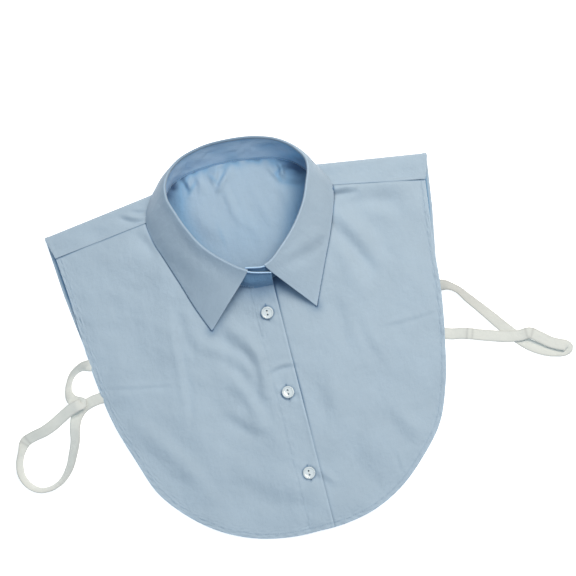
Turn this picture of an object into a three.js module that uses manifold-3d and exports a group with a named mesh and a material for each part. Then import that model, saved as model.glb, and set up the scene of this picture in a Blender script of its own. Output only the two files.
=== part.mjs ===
// Detachable shirt collar: a false shirt front and back with a collar, worn under a sweater.
// It lies face up on a table, as it would by itself.
// Millimetres. X runs along the shoulders, Y from the hem towards the back of the neck, Z is up.
// The tables are drawn about the centre front of the neck, at table height, and the finished group
// is then moved so that its origin is the middle of the underside.
// "Left" and "right" in the code are the viewer's, looking down at the collar lying face up.

import * as THREE from 'three';
import { mergeVertices } from 'three/addons/utils/BufferGeometryUtils.js';
import Module from 'manifold-3d';

const wasm = await Module();
wasm.setup();

// Cut sizes of the body
const BODY_HALF_WIDTH = 182; // centre to shoulder tip
const BODY_LENGTH = 242; // top of the centre front to the hem
const NECK_HALF_WIDTH = 68; // half the width of the neck opening at the top of the stand
const NECK_DEPTH = 125; // the same opening, front to back
const COLLAR_HEIGHT = 36; // top of the stand above the table, at the sides of the neck
const PLACKET_LAP = 11; // how far each front runs past the centre
const HEM_LAP = 12; // the same at the hem
const SEAM_ALLOWANCE = 2.2; // what the panels run on inside the neck seam

// Walls and clearances
const CLOTH = 1.1;
const STAND_WALL = 1.6;
const LEAF_WALL = 1.3;
const CLEAR = 0.35; // between pieces that lie on each other
const PLACKET_GAP = 0.6; // between the two fronts where they lap
const ROLL_GAP = 1.25; // between the top of the stand's middle and the underside of the leaf's roll

// Heights of the laid cloth
const FRONT_REST = 3.6; // middle of the front panels above the table, out at the edge
const NECK_LIFT = 6.6; // what the neck seam lifts them above that
const NECK_LIFT_REACH = 38; // how far that lift spreads
const SHOULDER_LIFT_REACH = 45;
const FOLD_FADE = 14; // soft folds die out over this distance from a seam
const GATHER_FADE = 4.5; // and the back's gathers over this one
const FOLD_RADIUS_TIP = 3.0; // rolled fold of the shoulder at its tip
const FOLD_RADIUS_NECK = 4.9; // and at the neck

// Elastic straps
const STRAP_WIDTH = 9.5;
const STRAP_WALL = 1.1;
const STRAP_REACH = 86; // how far a loop stands out from the side edge
const STRAP_TUCK = 8; // length sewn under the side edge
const STRAP_CLEAR = 0.25; // least space under a strap that lies on the table

// Buttons
const BUTTON_RADIUS = 5.7;
const BUTTON_THICKNESS = 2.4;
const BUTTON_RIM = 1.1; // width of the raised rim
const BUTTON_RECESS = 0.8; // depth of the dish inside it
const THREAD_HOLE_RADIUS = 0.85;
const THREAD_HOLE_SPACING = 3.6;
const FIRST_BUTTON = { x: 0.4, y: -38.6 }; // from the centre front
const BUTTON_PITCH = { x: 0.7, y: -75.7 };
const BUTTON_COUNT = 3;

// The neck seam of the fronts as an ellipse: halfWidth is a share of NECK_HALF_WIDTH, halfDepth and
// middle are shares of NECK_DEPTH, and full is the share of the ellipse where the lift is full.
const NECK_ELLIPSE = { halfWidth: 1.04, halfDepth: 0.49, middle: 0.38, full: 0.95 };

// Side edge from the armhole to the hem. y is a share of BODY_LENGTH, left and right are shares
// of BODY_HALF_WIDTH, and back is how much further out the back panel reaches, as the same share.
const OUTLINE = [
  { y: 0.083, left: 0.968, right: 0.943, back: 0.006 },
  { y: -0.083, left: 0.941, right: 0.909, back: 0.002 },
  { y: -0.248, left: 0.918, right: 0.882, back: -0.012 },
  { y: -0.413, left: 0.882, right: 0.841, back: -0.014 },
  { y: -0.579, left: 0.813, right: 0.786, back: -0.014 },
  { y: -0.723, left: 0.739, right: 0.703, back: -0.014 },
  { y: -0.826, left: 0.629, right: 0.582, back: -0.014 },
  { y: -0.917, left: 0.478, right: 0.437, back: -0.014 },
  { y: -0.975, left: 0.302, right: 0.275, back: -0.014 },
  { y: -0.998, left: 0.14, right: 0.12, back: -0.01 },
];

// Shoulders: tip and neck are the rolled fold's height up the body at the tip and beside the
// collar, and seam is the forward shoulder seam's at the same two places, as shares of BODY_LENGTH.
const SHOULDER = {
  left: { tip: 0.333, neck: 0.399, seamTip: 0.241, seamNeck: 0.301 },
  right: { tip: 0.304, neck: 0.364, seamTip: 0.198, seamNeck: 0.275 },
};
const BACK_HEM_INSET = 0.012; // how far the back's hem stays inside the front's, the same share
const YOKE_NECK_EDGE = 1.09; // neck end of the rolled shoulder, as a share of NECK_HALF_WIDTH
const FRONT_SHOULDER = { left: 0.993, right: 0.958 }; // armhole end of each shoulder seam

// Stations round the collar, from the outer front end of the stand, round the back of the neck,
// to its inner front end. foldX and foldY are the top of the stand and seamX and seamY its lower
// edge, x as shares of NECK_HALF_WIDTH and y of NECK_DEPTH. top is the height of the fold, a share
// of COLLAR_HEIGHT. seat says what the stand is sewn to: 0 is the back panel and 1 the fronts.
const STAND = [
  { foldX: 0.176, foldY: -0.048, top: 0.8, seamX: 0.176, seamY: -0.12, seat: 1 },
  { foldX: -0.132, foldY: -0.002, top: 0.83, seamX: -0.147, seamY: -0.1, seat: 1 },
  { foldX: -0.416, foldY: 0.11, top: 0.89, seamX: -0.515, seamY: 0.032, seat: 1 },
  { foldX: -0.635, foldY: 0.236, top: 0.945, seamX: -0.757, seamY: 0.168, seat: 1 },
  { foldX: -0.796, foldY: 0.394, top: 0.985, seamX: -0.912, seamY: 0.336, seat: 1 },
  { foldX: -0.89, foldY: 0.528, top: 1, seamX: -0.985, seamY: 0.472, seat: 1 },
  { foldX: -0.956, foldY: 0.656, top: 0.995, seamX: -1.026, seamY: 0.584, seat: 1 },
  { foldX: -0.971, foldY: 0.752, top: 0.96, seamX: -0.993, seamY: 0.704, seat: 0.5 },
  { foldX: -0.904, foldY: 0.848, top: 0.89, seamX: -0.875, seamY: 0.792, seat: 0.05 },
  { foldX: -0.7, foldY: 0.91, top: 0.82, seamX: -0.676, seamY: 0.848, seat: 0 },
  { foldX: -0.353, foldY: 0.978, top: 0.805, seamX: -0.324, seamY: 0.876, seat: 0 },
  { foldX: 0.059, foldY: 0.988, top: 0.805, seamX: 0.059, seamY: 0.876, seat: 0 },
  { foldX: 0.426, foldY: 0.964, top: 0.805, seamX: 0.382, seamY: 0.852, seat: 0 },
  { foldX: 0.728, foldY: 0.898, top: 0.82, seamX: 0.691, seamY: 0.808, seat: 0 },
  { foldX: 0.934, foldY: 0.808, top: 0.89, seamX: 0.89, seamY: 0.74, seat: 0.05 },
  { foldX: 1.018, foldY: 0.704, top: 0.96, seamX: 1.012, seamY: 0.648, seat: 0.5 },
  { foldX: 1.012, foldY: 0.632, top: 0.995, seamX: 1.049, seamY: 0.532, seat: 1 },
  { foldX: 0.956, foldY: 0.52, top: 1, seamX: 1.037, seamY: 0.448, seat: 1 },
  { foldX: 0.846, foldY: 0.408, top: 0.975, seamX: 0.956, seamY: 0.328, seat: 1 },
  { foldX: 0.694, foldY: 0.28, top: 0.93, seamX: 0.809, seamY: 0.216, seat: 1 },
  { foldX: 0.426, foldY: 0.124, top: 0.89, seamX: 0.544, seamY: 0.056, seat: 1 },
  { foldX: 0.121, foldY: 0.009, top: 0.83, seamX: 0.147, seamY: -0.076, seat: 1 },
  { foldX: -0.14, foldY: 0.029, top: 0.8, seamX: -0.147, seamY: -0.068, seat: 1 },
];

// Outer edge of the leaf at the same stations, in the same shares. seat says what it lies on: 0 is
// the table and 1 the fronts.
const LEAF_EDGE = [
  { x: -0.778, y: -0.333, seat: 1 },
  { x: -0.778, y: -0.333, seat: 1 },
  { x: -0.919, y: -0.144, seat: 1 },
  { x: -1.066, y: 0.056, seat: 1 },
  { x: -1.22, y: 0.264, seat: 1 },
  { x: -1.309, y: 0.416, seat: 1 },
  { x: -1.279, y: 0.6, seat: 1 },
  { x: -1.154, y: 0.732, seat: 1 },
  { x: -1, y: 0.828, seat: 0.45 },
  { x: -0.721, y: 0.884, seat: 0 },
  { x: -0.338, y: 0.914, seat: 0 },
  { x: 0.059, y: 0.916, seat: 0 },
  { x: 0.426, y: 0.888, seat: 0 },
  { x: 0.765, y: 0.832, seat: 0 },
  { x: 1.037, y: 0.748, seat: 0.45 },
  { x: 1.184, y: 0.644, seat: 1 },
  { x: 1.272, y: 0.536, seat: 1 },
  { x: 1.272, y: 0.44, seat: 1 },
  { x: 1.206, y: 0.32, seat: 1 },
  { x: 1.088, y: 0.156, seat: 1 },
  { x: 0.904, y: -0.064, seat: 1 },
  { x: 0.676, y: -0.341, seat: 1 },
  { x: 0.676, y: -0.341, seat: 1 },
];
const SHOULDER_STATION = 6; // row where the fronts end at the shoulder seam, from either end

// Soft folds of the front panels. x is a share of BODY_HALF_WIDTH and y of BODY_LENGTH at the
// middle of the fold, turn is its direction in degrees from the centre front line, and length,
// width and rise are in millimetres.
const FOLDS = [
  { x: 0.48, y: -0.09, turn: 4, length: 78, width: 12, rise: 2.4 },
  { x: 0.64, y: 0.13, turn: 66, length: 42, width: 9, rise: 1.8 },
  { x: -0.16, y: -0.36, turn: 14, length: 48, width: 8, rise: 1.6 },
  { x: -0.3, y: -0.3, turn: 34, length: 52, width: 10, rise: 1.7 },
  { x: -0.5, y: -0.12, turn: -12, length: 70, width: 13, rise: 2.2 },
  { x: -0.78, y: -0.33, turn: 84, length: 36, width: 9, rise: 1.2 },
  { x: 0.22, y: -0.55, turn: 6, length: 60, width: 12, rise: 1.5 },
];

// Gathers of the back panel below the back neck seam. x is a share of NECK_HALF_WIDTH, length,
// width and rise are in millimetres, and turn is the slant away from the centre line in degrees.
const GATHERS = [
  { x: -0.78, turn: -24, length: 17, width: 4.5, rise: 2.6 },
  { x: -0.6, turn: -8, length: 24, width: 5, rise: 2.4 },
  { x: -0.22, turn: 6, length: 30, width: 5.5, rise: 2.8 },
  { x: 0.08, turn: -4, length: 16, width: 6, rise: 1.4 },
  { x: 0.62, turn: 14, length: 20, width: 5, rise: 2.6 },
  { x: 0.8, turn: 26, length: 18, width: 4.5, rise: 2.4 },
];

// Routes of the two straps, from the front panel's side edge to the back panel's. out and down
// are shares of STRAP_REACH from the point half way between the two ends, lift is the space under
// the strap in millimetres, and lean is its roll about its own length, in degrees from flat.
const STRAP_ROUTES = {
  left: [
    { out: 0.117, down: 0.202, lift: 1, lean: 0 },
    { out: 0.211, down: 0.240, lift: 0, lean: 0 },
    { out: 0.282, down: 0.307, lift: 0, lean: 0 },
    { out: 0.330, down: 0.417, lift: 0, lean: 10 },
    { out: 0.356, down: 0.553, lift: 0, lean: 25 },
    { out: 0.407, down: 0.683, lift: 0, lean: 30 },
    { out: 0.483, down: 0.832, lift: 0, lean: 35 },
    { out: 0.589, down: 0.942, lift: 0, lean: 42 },
    { out: 0.718, down: 0.991, lift: 0, lean: 48 },
    { out: 0.837, down: 0.977, lift: 0, lean: 48 },
    { out: 0.937, down: 0.893, lift: 0, lean: 45 },
    { out: 0.983, down: 0.779, lift: 0, lean: 48 },
    { out: 0.976, down: 0.661, lift: 0, lean: 50 },
    { out: 0.928, down: 0.543, lift: 0.2, lean: 40 },
    { out: 0.869, down: 0.447, lift: 0.8, lean: 15 },
    { out: 0.777, down: 0.412, lift: 0.8, lean: 0 },
    { out: 0.663, down: 0.388, lift: 0.8, lean: 0 },
    { out: 0.554, down: 0.346, lift: 1.8, lean: 0 },
    { out: 0.440, down: 0.285, lift: 3.6, lean: 0 },
    { out: 0.327, down: 0.232, lift: 5.6, lean: 0 },
    { out: 0.238, down: 0.206, lift: 6.6, lean: 0 },
    { out: 0.197, down: 0.192, lift: 4.6, lean: 0 },
    { out: 0.231, down: 0.172, lift: 2.4, lean: 0 },
    { out: 0.287, down: 0.138, lift: 1.9, lean: 0 },
    { out: 0.306, down: 0.059, lift: 1.6, lean: 25 },
    { out: 0.283, down: -0.039, lift: 0.2, lean: 55 },
    { out: 0.233, down: -0.121, lift: 0, lean: 50 },
    { out: 0.152, down: -0.175, lift: 0, lean: 30 },
    { out: 0.086, down: -0.190, lift: 0.3, lean: 5 },
  ],
  right: [
    { out: 0.035, down: 0.284, lift: 0.6, lean: 0 },
    { out: 0.139, down: 0.305, lift: 1.6, lean: 0 },
    { out: 0.224, down: 0.333, lift: 3, lean: 0 },
    { out: 0.311, down: 0.364, lift: 2, lean: 0 },
    { out: 0.444, down: 0.408, lift: 1.6, lean: 0 },
    { out: 0.597, down: 0.455, lift: 1.6, lean: 0 },
    { out: 0.734, down: 0.477, lift: 2.2, lean: 0 },
    { out: 0.841, down: 0.480, lift: 4.2, lean: 0 },
    { out: 0.925, down: 0.542, lift: 3.6, lean: 0 },
    { out: 1.044, down: 0.636, lift: 3, lean: 0 },
    { out: 1.130, down: 0.680, lift: 3.2, lean: 0 },
    { out: 1.175, down: 0.700, lift: 2.8, lean: 0 },
    { out: 1.197, down: 0.725, lift: 1.4, lean: 0 },
    { out: 1.160, down: 0.742, lift: 0.2, lean: 0 },
    { out: 1.067, down: 0.732, lift: 0, lean: 0 },
    { out: 0.936, down: 0.684, lift: 0, lean: 0 },
    { out: 0.806, down: 0.593, lift: 0, lean: 0 },
    { out: 0.702, down: 0.485, lift: 0, lean: 0 },
    { out: 0.603, down: 0.360, lift: 0, lean: 0 },
    { out: 0.498, down: 0.216, lift: 0, lean: 0 },
    { out: 0.392, down: 0.072, lift: 0, lean: 0 },
    { out: 0.293, down: -0.058, lift: 0, lean: 6 },
    { out: 0.215, down: -0.165, lift: 0, lean: 15 },
    { out: 0.137, down: -0.225, lift: 0.3, lean: 8 },
  ],
};
// Where the straps are sewn, as shares of BODY_LENGTH below the centre front
const STRAP_ENDS = {
  left: { front: 0.32, back: 0.19 },
  right: { front: 0.395, back: 0.21 },
};

// Mesh steps
const FRONT_STEPS = { across: 26, down: 14 };
const BACK_STEPS = { across: 46, down: 11 };
const YOKE_STEPS = { across: 8, round: 12 };
const COLLAR_STEPS = 48;
const STAND_ROWS = 4;
const LEAF_ROWS = 8;
const STRAP_STEPS_PER_ROW = 2;
const BUTTON_SIDES = 20;
const HOLE_SIDES = 8;

const UP = new THREE.Vector3(0, 0, 1);
const SIGN = { left: -1, right: 1 };

const mix = (a, b, share) => a + (b - a) * share;
const point = (x, y, z = 0) => new THREE.Vector3(x, y, z);
const bell = (distance, width) => Math.exp(-((distance / width) ** 2));

// Smooth curve through a table: every column is carried by one cubic between rows. stops holds
// each row's parameter, from 0 to 1, by the distance that stride gives from row to row.
function tableCurve(rows, stride) {
  const stops = [0];
  for (let i = 1; i < rows.length; i += 1) {
    stops.push(stops[i - 1] + stride(rows[i - 1], rows[i]));
  }
  const total = stops[stops.length - 1];
  stops.forEach((stop, i) => {
    stops[i] = stop / total;
  });
  const keys = Object.keys(rows[0]);
  const slope = (i, key) => (rows[i + 1][key] - rows[i][key]) / (stops[i + 1] - stops[i]);
  const tangent = (i, key) => {
    if (i === 0) return slope(0, key);
    if (i === rows.length - 1) return slope(i - 1, key);
    const before = stops[i] - stops[i - 1];
    const after = stops[i + 1] - stops[i];
    return (slope(i - 1, key) * after + slope(i, key) * before) / (before + after);
  };
  const at = (t) => {
    let i = 0;
    while (i < rows.length - 2 && t > stops[i + 1]) i += 1;
    const span = stops[i + 1] - stops[i];
    const s = (t - stops[i]) / span;
    const value = {};
    for (const key of keys) {
      const rise = rows[i + 1][key] - rows[i][key];
      const start = tangent(i, key) * span;
      const end = tangent(i + 1, key) * span;
      const bend = 3 * rise - 2 * start - end;
      value[key] = rows[i][key] + s * (start + s * (bend + s * (start + end - 2 * rise)));
    }
    return value;
  };
  return { at, stops };
}

const planStride = (a, b) => Math.hypot(b.x - a.x, b.y - a.y);
const spaceStride = (a, b) => Math.hypot(b.x - a.x, b.y - a.y, b.z - a.z);

// Closed wall about a middle surface: surface(u, v) gives points for u and v from 0 to 1
function sheetSolid(surface, uSteps, vSteps, wall) {
  const nudge = 1e-3;
  const positions = [];
  const layers = [[], []];
  for (let i = 0; i <= uSteps; i += 1) {
    for (let j = 0; j <= vSteps; j += 1) {
      const u = i / uSteps;
      const v = j / vSteps;
      const alongU = surface(Math.min(u + nudge, 1), v).sub(surface(Math.max(u - nudge, 0), v));
      const alongV = surface(u, Math.min(v + nudge, 1)).sub(surface(u, Math.max(v - nudge, 0)));
      const normal = alongU.cross(alongV).normalize();
      const middle = surface(u, v);
      [wall / 2, -wall / 2].forEach((offset, layer) => {
        const p = middle.clone().addScaledVector(normal, offset);
        layers[layer].push(positions.length / 3);
        positions.push(p.x, p.y, p.z);
      });
    }
  }
  const at = (layer, i, j) => layers[layer][i * (vSteps + 1) + j];
  const faces = [];
  const quad = (a, b, c, d) => faces.push(a, b, c, a, c, d);
  for (let i = 0; i < uSteps; i += 1) {
    for (let j = 0; j < vSteps; j += 1) {
      quad(at(0, i, j), at(0, i + 1, j), at(0, i + 1, j + 1), at(0, i, j + 1));
      quad(at(1, i, j), at(1, i, j + 1), at(1, i + 1, j + 1), at(1, i + 1, j));
    }
    quad(at(0, i, 0), at(1, i, 0), at(1, i + 1, 0), at(0, i + 1, 0));
    quad(at(0, i, vSteps), at(0, i + 1, vSteps), at(1, i + 1, vSteps), at(1, i, vSteps));
  }
  for (let j = 0; j < vSteps; j += 1) {
    quad(at(0, 0, j), at(0, 0, j + 1), at(1, 0, j + 1), at(1, 0, j));
    quad(at(0, uSteps, j), at(1, uSteps, j), at(1, uSteps, j + 1), at(0, uSteps, j + 1));
  }
  const geometry = new THREE.BufferGeometry();
  geometry.setAttribute('position', new THREE.Float32BufferAttribute(positions, 3));
  geometry.setIndex(faces);
  return geometry;
}

function toManifold(geometry) {
  const bare = new THREE.BufferGeometry();
  bare.setAttribute('position', geometry.getAttribute('position').clone());
  if (geometry.index) bare.setIndex(geometry.index.clone());
  const merged = mergeVertices(bare, 1e-4);
  return new wasm.Manifold(new wasm.Mesh({
    numProp: 3,
    vertProperties: new Float32Array(merged.getAttribute('position').array),
    triVerts: new Uint32Array(merged.index.array),
  }));
}

function fromManifold(solid) {
  const mesh = solid.getMesh();
  const geometry = new THREE.BufferGeometry();
  geometry.setAttribute('position', new THREE.Float32BufferAttribute(Array.from(mesh.vertProperties), 3));
  geometry.setIndex(Array.from(mesh.triVerts));
  return geometry;
}

// Shoulder lines of one side, all at a distance x from the centre line
function shoulderShare(x) {
  const neck = YOKE_NECK_EDGE * NECK_HALF_WIDTH;
  return (Math.abs(x) - neck) / (BODY_HALF_WIDTH - neck);
}
const foldLineY = (side, x) => BODY_LENGTH * mix(SHOULDER[side].neck, SHOULDER[side].tip, shoulderShare(x));
const seamLineY = (side, x) => (
  BODY_LENGTH * mix(SHOULDER[side].seamNeck, SHOULDER[side].seamTip, shoulderShare(x))
);
const foldRadius = (x) => mix(FOLD_RADIUS_NECK, FOLD_RADIUS_TIP, shoulderShare(x));
const rollStartY = (side, x) => foldLineY(side, x) - foldRadius(x) - CLOTH / 2;

// Height that the soft folds add to the front panels
function foldRise(x, y) {
  let rise = 0;
  for (const fold of FOLDS) {
    const angle = THREE.MathUtils.degToRad(fold.turn);
    const dx = x - fold.x * BODY_HALF_WIDTH;
    const dy = y - fold.y * BODY_LENGTH;
    const along = dx * Math.sin(angle) - dy * Math.cos(angle);
    const across = dx * Math.cos(angle) + dy * Math.sin(angle);
    rise += fold.rise * bell(along, fold.length / 2) * bell(across, fold.width);
  }
  return rise;
}

// Middle of a front panel above the table. It meets the rolled shoulder's upper layer at the
// shoulder seam and lifts towards the neck; the left front lies on the right one at the placket.
function frontHeight(side, x, y) {
  const neckX = x / (NECK_ELLIPSE.halfWidth * NECK_HALF_WIDTH);
  const neckY = (y / NECK_DEPTH - NECK_ELLIPSE.middle) / NECK_ELLIPSE.halfDepth;
  const outside = Math.max(Math.hypot(neckX, neckY) - NECK_ELLIPSE.full, 0) * NECK_HALF_WIDTH;
  const neckHill = NECK_LIFT * bell(outside, NECK_LIFT_REACH);
  const ridge = CLOTH / 2 + 2 * foldRadius(Math.max(Math.abs(x), NECK_HALF_WIDTH)) - FRONT_REST;
  const belowSeam = Math.max(seamLineY(side, x) - y, 0);
  const shoulder = bell(belowSeam, SHOULDER_LIFT_REACH);
  const folds = foldRise(x, y) * (1 - bell(belowSeam, FOLD_FADE)) * (1 - bell(outside, FOLD_FADE));
  const lap = side === 'left' ? CLOTH + PLACKET_GAP : 0;
  const overlap = THREE.MathUtils.smoothstep(x, -4.2 * PLACKET_LAP, -1.2 * PLACKET_LAP);
  return FRONT_REST + mix(neckHill, ridge, shoulder) + folds + lap * overlap;
}

// One curve round the collar, with every column in millimetres
const collarRows = STAND.map((row, i) => ({
  foldX: row.foldX * NECK_HALF_WIDTH,
  foldY: row.foldY * NECK_DEPTH,
  foldZ: row.top * COLLAR_HEIGHT,
  seamX: row.seamX * NECK_HALF_WIDTH,
  seamY: row.seamY * NECK_DEPTH,
  seat: row.seat,
  leafX: LEAF_EDGE[i].x * NECK_HALF_WIDTH,
  leafY: LEAF_EDGE[i].y * NECK_DEPTH,
  leafSeat: LEAF_EDGE[i].seat,
}));
const collar = tableCurve(collarRows, (a, b) => Math.hypot(b.foldX - a.foldX, b.foldY - a.foldY));
const sideAt = (t) => (t < 0.5 ? 'left' : 'right');

function foldPoint(t) {
  const at = collar.at(t);
  return point(at.foldX, at.foldY, at.foldZ);
}

// Lower edge of the stand, which stands on the panels' neck edges
function seamPoint(t) {
  const at = collar.at(t);
  const onFronts = frontHeight(sideAt(t), at.seamX, at.seamY);
  const seatGap = CLOTH / 2 + CLEAR + STAND_WALL / 2;
  const seat = THREE.MathUtils.smoothstep(at.seat, 0, 1);
  return point(at.seamX, at.seamY, mix(CLOTH / 2, onFronts, seat) + seatGap);
}

function leafEdgePoint(t) {
  const at = collar.at(t);
  const onFronts = frontHeight(sideAt(t), at.leafX, at.leafY) + CLOTH / 2 + 2 * CLEAR + LEAF_WALL / 2;
  const onTable = LEAF_WALL / 2 + CLEAR;
  const seat = THREE.MathUtils.smoothstep(at.leafSeat, 0, 1);
  return point(at.leafX, at.leafY, mix(onTable, onFronts, seat));
}

// Level direction that points away from the neck at t
function outward(t) {
  const nudge = 1e-3;
  const along = foldPoint(Math.min(t + nudge, 1)).sub(foldPoint(Math.max(t - nudge, 0)));
  return point(-along.y, along.x, 0).normalize();
}

function cubic(a, b, c, d, s) {
  const r = 1 - s;
  return point(0, 0)
    .addScaledVector(a, r * r * r)
    .addScaledVector(b, 3 * r * r * s)
    .addScaledVector(c, 3 * r * s * s)
    .addScaledVector(d, s * s * s);
}

// Stand: a band from the neck seam up to the fold, bowed a little outwards
function collarStand() {
  const bow = 0.8;
  const surface = (u, v) => seamPoint(u)
    .lerp(foldPoint(u), v)
    .addScaledVector(outward(u), bow * Math.sin(Math.PI * v));
  return sheetSolid(surface, COLLAR_STEPS, STAND_ROWS, STAND_WALL);
}

// Leaf: rolls over the top of the stand and falls outwards to its edge and its two points
function collarLeaf() {
  const first = collar.stops[1];
  const last = collar.stops[collar.stops.length - 2];
  const rollGap = ROLL_GAP + LEAF_WALL / 2;
  const rollOut = { table: 4.4, fronts: 5 };
  const rollUp = 1.6;
  const tuck = 13;
  const surface = (u, v) => {
    const t = mix(first, last, u);
    const out = outward(t);
    const top = foldPoint(t).addScaledVector(UP, rollGap);
    const edge = leafEdgePoint(t);
    const onFronts = edge.clone().lerp(top, 0.4).addScaledVector(UP, 2);
    const onTable = edge.clone().addScaledVector(out, tuck).addScaledVector(UP, CLEAR);
    const seat = THREE.MathUtils.smoothstep(collar.at(t).leafSeat, 0, 1);
    const rolled = top.clone()
      .addScaledVector(out, mix(rollOut.table, rollOut.fronts, seat))
      .addScaledVector(UP, rollUp);
    return cubic(top, rolled, onTable.lerp(onFronts, seat), edge, v);
  };
  return sheetSolid(surface, COLLAR_STEPS, LEAF_ROWS, LEAF_WALL);
}

// Side edge and hem of one side of a panel, from the hem's start at the given x up to the given top
function sideEdge(side, hemX, top) {
  const rows = OUTLINE.map((row) => ({
    x: SIGN[side] * BODY_HALF_WIDTH * row[side],
    y: BODY_LENGTH * row.y,
  }));
  return tableCurve([{ x: hemX, y: -BODY_LENGTH }, ...rows.reverse(), top], planStride);
}

// Front panel: a patch between the neck seam, the shoulder seam, the side edge and the opening edge
function frontPanel(side) {
  const sign = SIGN[side];
  const neckMiddle = point(0, 0.4 * NECK_DEPTH);
  const count = collar.stops.length;
  const ends = side === 'left'
    ? [collar.stops[0], collar.stops[SHOULDER_STATION]]
    : [collar.stops[count - 1], collar.stops[count - 1 - SHOULDER_STATION]];
  const neck = (u) => {
    const at = collar.at(mix(ends[0], ends[1], u));
    const p = point(at.seamX, at.seamY);
    return p.addScaledVector(neckMiddle.clone().sub(p).normalize(), SEAM_ALLOWANCE);
  };
  const shoulderTip = point(sign * BODY_HALF_WIDTH * FRONT_SHOULDER[side], 0);
  shoulderTip.y = seamLineY(side, shoulderTip.x) - CLEAR;
  const hemX = -sign * HEM_LAP;
  const edge = sideEdge(side, hemX, { x: shoulderTip.x, y: shoulderTip.y });
  const outer = (u) => {
    const at = edge.at(u);
    return point(at.x, at.y);
  };
  const neckPoint = neck(1);
  neckPoint.y = seamLineY(side, neckPoint.x) - CLEAR;
  const neckEdge = (u) => {
    const p = neck(u);
    p.y += (neckPoint.y - neck(1).y) * u ** 4;
    return p;
  };
  const surface = (u, v) => {
    const ruledDown = neckEdge(u).lerp(outer(u), v);
    const opening = neckEdge(0).lerp(outer(0), v);
    const seam = neckEdge(1).lerp(outer(1), v);
    const ruledAcross = opening.clone().lerp(seam, u);
    const corners = neckEdge(0).lerp(neckEdge(1), u).lerp(outer(0).lerp(outer(1), u), v);
    const p = ruledDown.add(ruledAcross).sub(corners);
    p.z = frontHeight(side, p.x, p.y);
    return p;
  };
  return sheetSolid(surface, FRONT_STEPS.across, FRONT_STEPS.down, CLOTH);
}

// Gathers lift the back panel just below the back neck seam
function gatherRise(x, below) {
  let rise = 0;
  for (const gather of GATHERS) {
    const slant = Math.tan(THREE.MathUtils.degToRad(gather.turn));
    const across = x - gather.x * NECK_HALF_WIDTH - slant * below;
    const along = bell(below - 0.4 * gather.length, 0.45 * gather.length);
    rise += gather.rise * bell(across, gather.width) * along * (1 - bell(below, GATHER_FADE));
  }
  return rise;
}

// Back panel on the table, up to the neck seam and the rolled shoulders
function backBody() {
  const skipped = SHOULDER_STATION + 2;
  const neckRows = STAND.slice(skipped, -skipped).map((row) => ({
    x: row.seamX * NECK_HALF_WIDTH,
    y: row.seamY * NECK_DEPTH + SEAM_ALLOWANCE,
  }));
  const yokeNeck = YOKE_NECK_EDGE * NECK_HALF_WIDTH;
  const shoulderRows = (side, places) => places.map((place) => {
    const x = SIGN[side] * mix(yokeNeck, BODY_HALF_WIDTH, place);
    return { x, y: rollStartY(side, x) };
  });
  const upper = tableCurve([
    ...shoulderRows('left', [1, 0.66, 0.33, 0]),
    ...neckRows,
    ...shoulderRows('right', [0, 0.33, 0.66, 1]),
  ], planStride);
  const edgeOf = (side) => {
    const rows = OUTLINE.map((row) => ({
      x: SIGN[side] * BODY_HALF_WIDTH * (row[side] + row.back),
      y: BODY_LENGTH * (row.y + BACK_HEM_INSET),
    }));
    return side === 'left' ? rows : rows.reverse();
  };
  const lower = tableCurve([...edgeOf('left'), ...edgeOf('right')], planStride);
  const surface = (u, v) => {
    const top = upper.at(u);
    const bottom = lower.at(u);
    const down = v ** 1.5;
    const p = point(mix(top.x, bottom.x, down), mix(top.y, bottom.y, down), CLOTH / 2);
    const below = Math.hypot(top.x - p.x, top.y - p.y);
    p.z += gatherRise(p.x, below) * (1 - bell(Math.max(yokeNeck - Math.abs(p.x), 0), GATHER_FADE));
    return p;
  };
  return sheetSolid(surface, BACK_STEPS.across, BACK_STEPS.down, CLOTH);
}

// Rolled shoulder: the back panel turns over and comes forward to the shoulder seam
function yoke(side) {
  const start = 7; // flat stretch shared with the back panel
  const seamTipX = FRONT_SHOULDER[side] * BODY_HALF_WIDTH;
  const neckX = YOKE_NECK_EDGE * NECK_HALF_WIDTH;
  const surface = (u, v) => {
    const x = SIGN[side] * mix(neckX, BODY_HALF_WIDTH, u);
    const seamX = SIGN[side] * mix(neckX, seamTipX, u);
    const radius = foldRadius(x);
    const turnY = rollStartY(side, x);
    const endY = seamLineY(side, seamX) + CLEAR;
    const path = v * (start + Math.PI * radius + turnY - endY) - start;
    const angle = THREE.MathUtils.clamp(path / radius, 0, Math.PI);
    const forward = Math.max(path - Math.PI * radius, 0) / (turnY - endY);
    return point(
      mix(x, seamX, forward),
      turnY + Math.min(path, 0) + radius * Math.sin(angle) - forward * (turnY - endY),
      CLOTH / 2 + mix(radius, foldRadius(seamX), forward) * (1 - Math.cos(angle)),
    );
  };
  return sheetSolid(surface, YOKE_STEPS.across, YOKE_STEPS.round, CLOTH);
}

function backPanel() {
  return fromManifold(toManifold(backBody()).add(toManifold(yoke('left'))).add(toManifold(yoke('right'))));
}

// x of a front panel's side edge at the given distance below the centre front
function sideEdgeX(side, below) {
  const rows = OUTLINE.map((row) => ({
    x: SIGN[side] * BODY_HALF_WIDTH * row[side],
    y: BODY_LENGTH * row.y,
  }));
  const edge = tableCurve(rows, planStride);
  let low = 0;
  let high = 1;
  for (let i = 0; i < 30; i += 1) {
    const middle = (low + high) / 2;
    if (edge.at(middle).y > -below) low = middle;
    else high = middle;
  }
  return edge.at(low).x;
}

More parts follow.
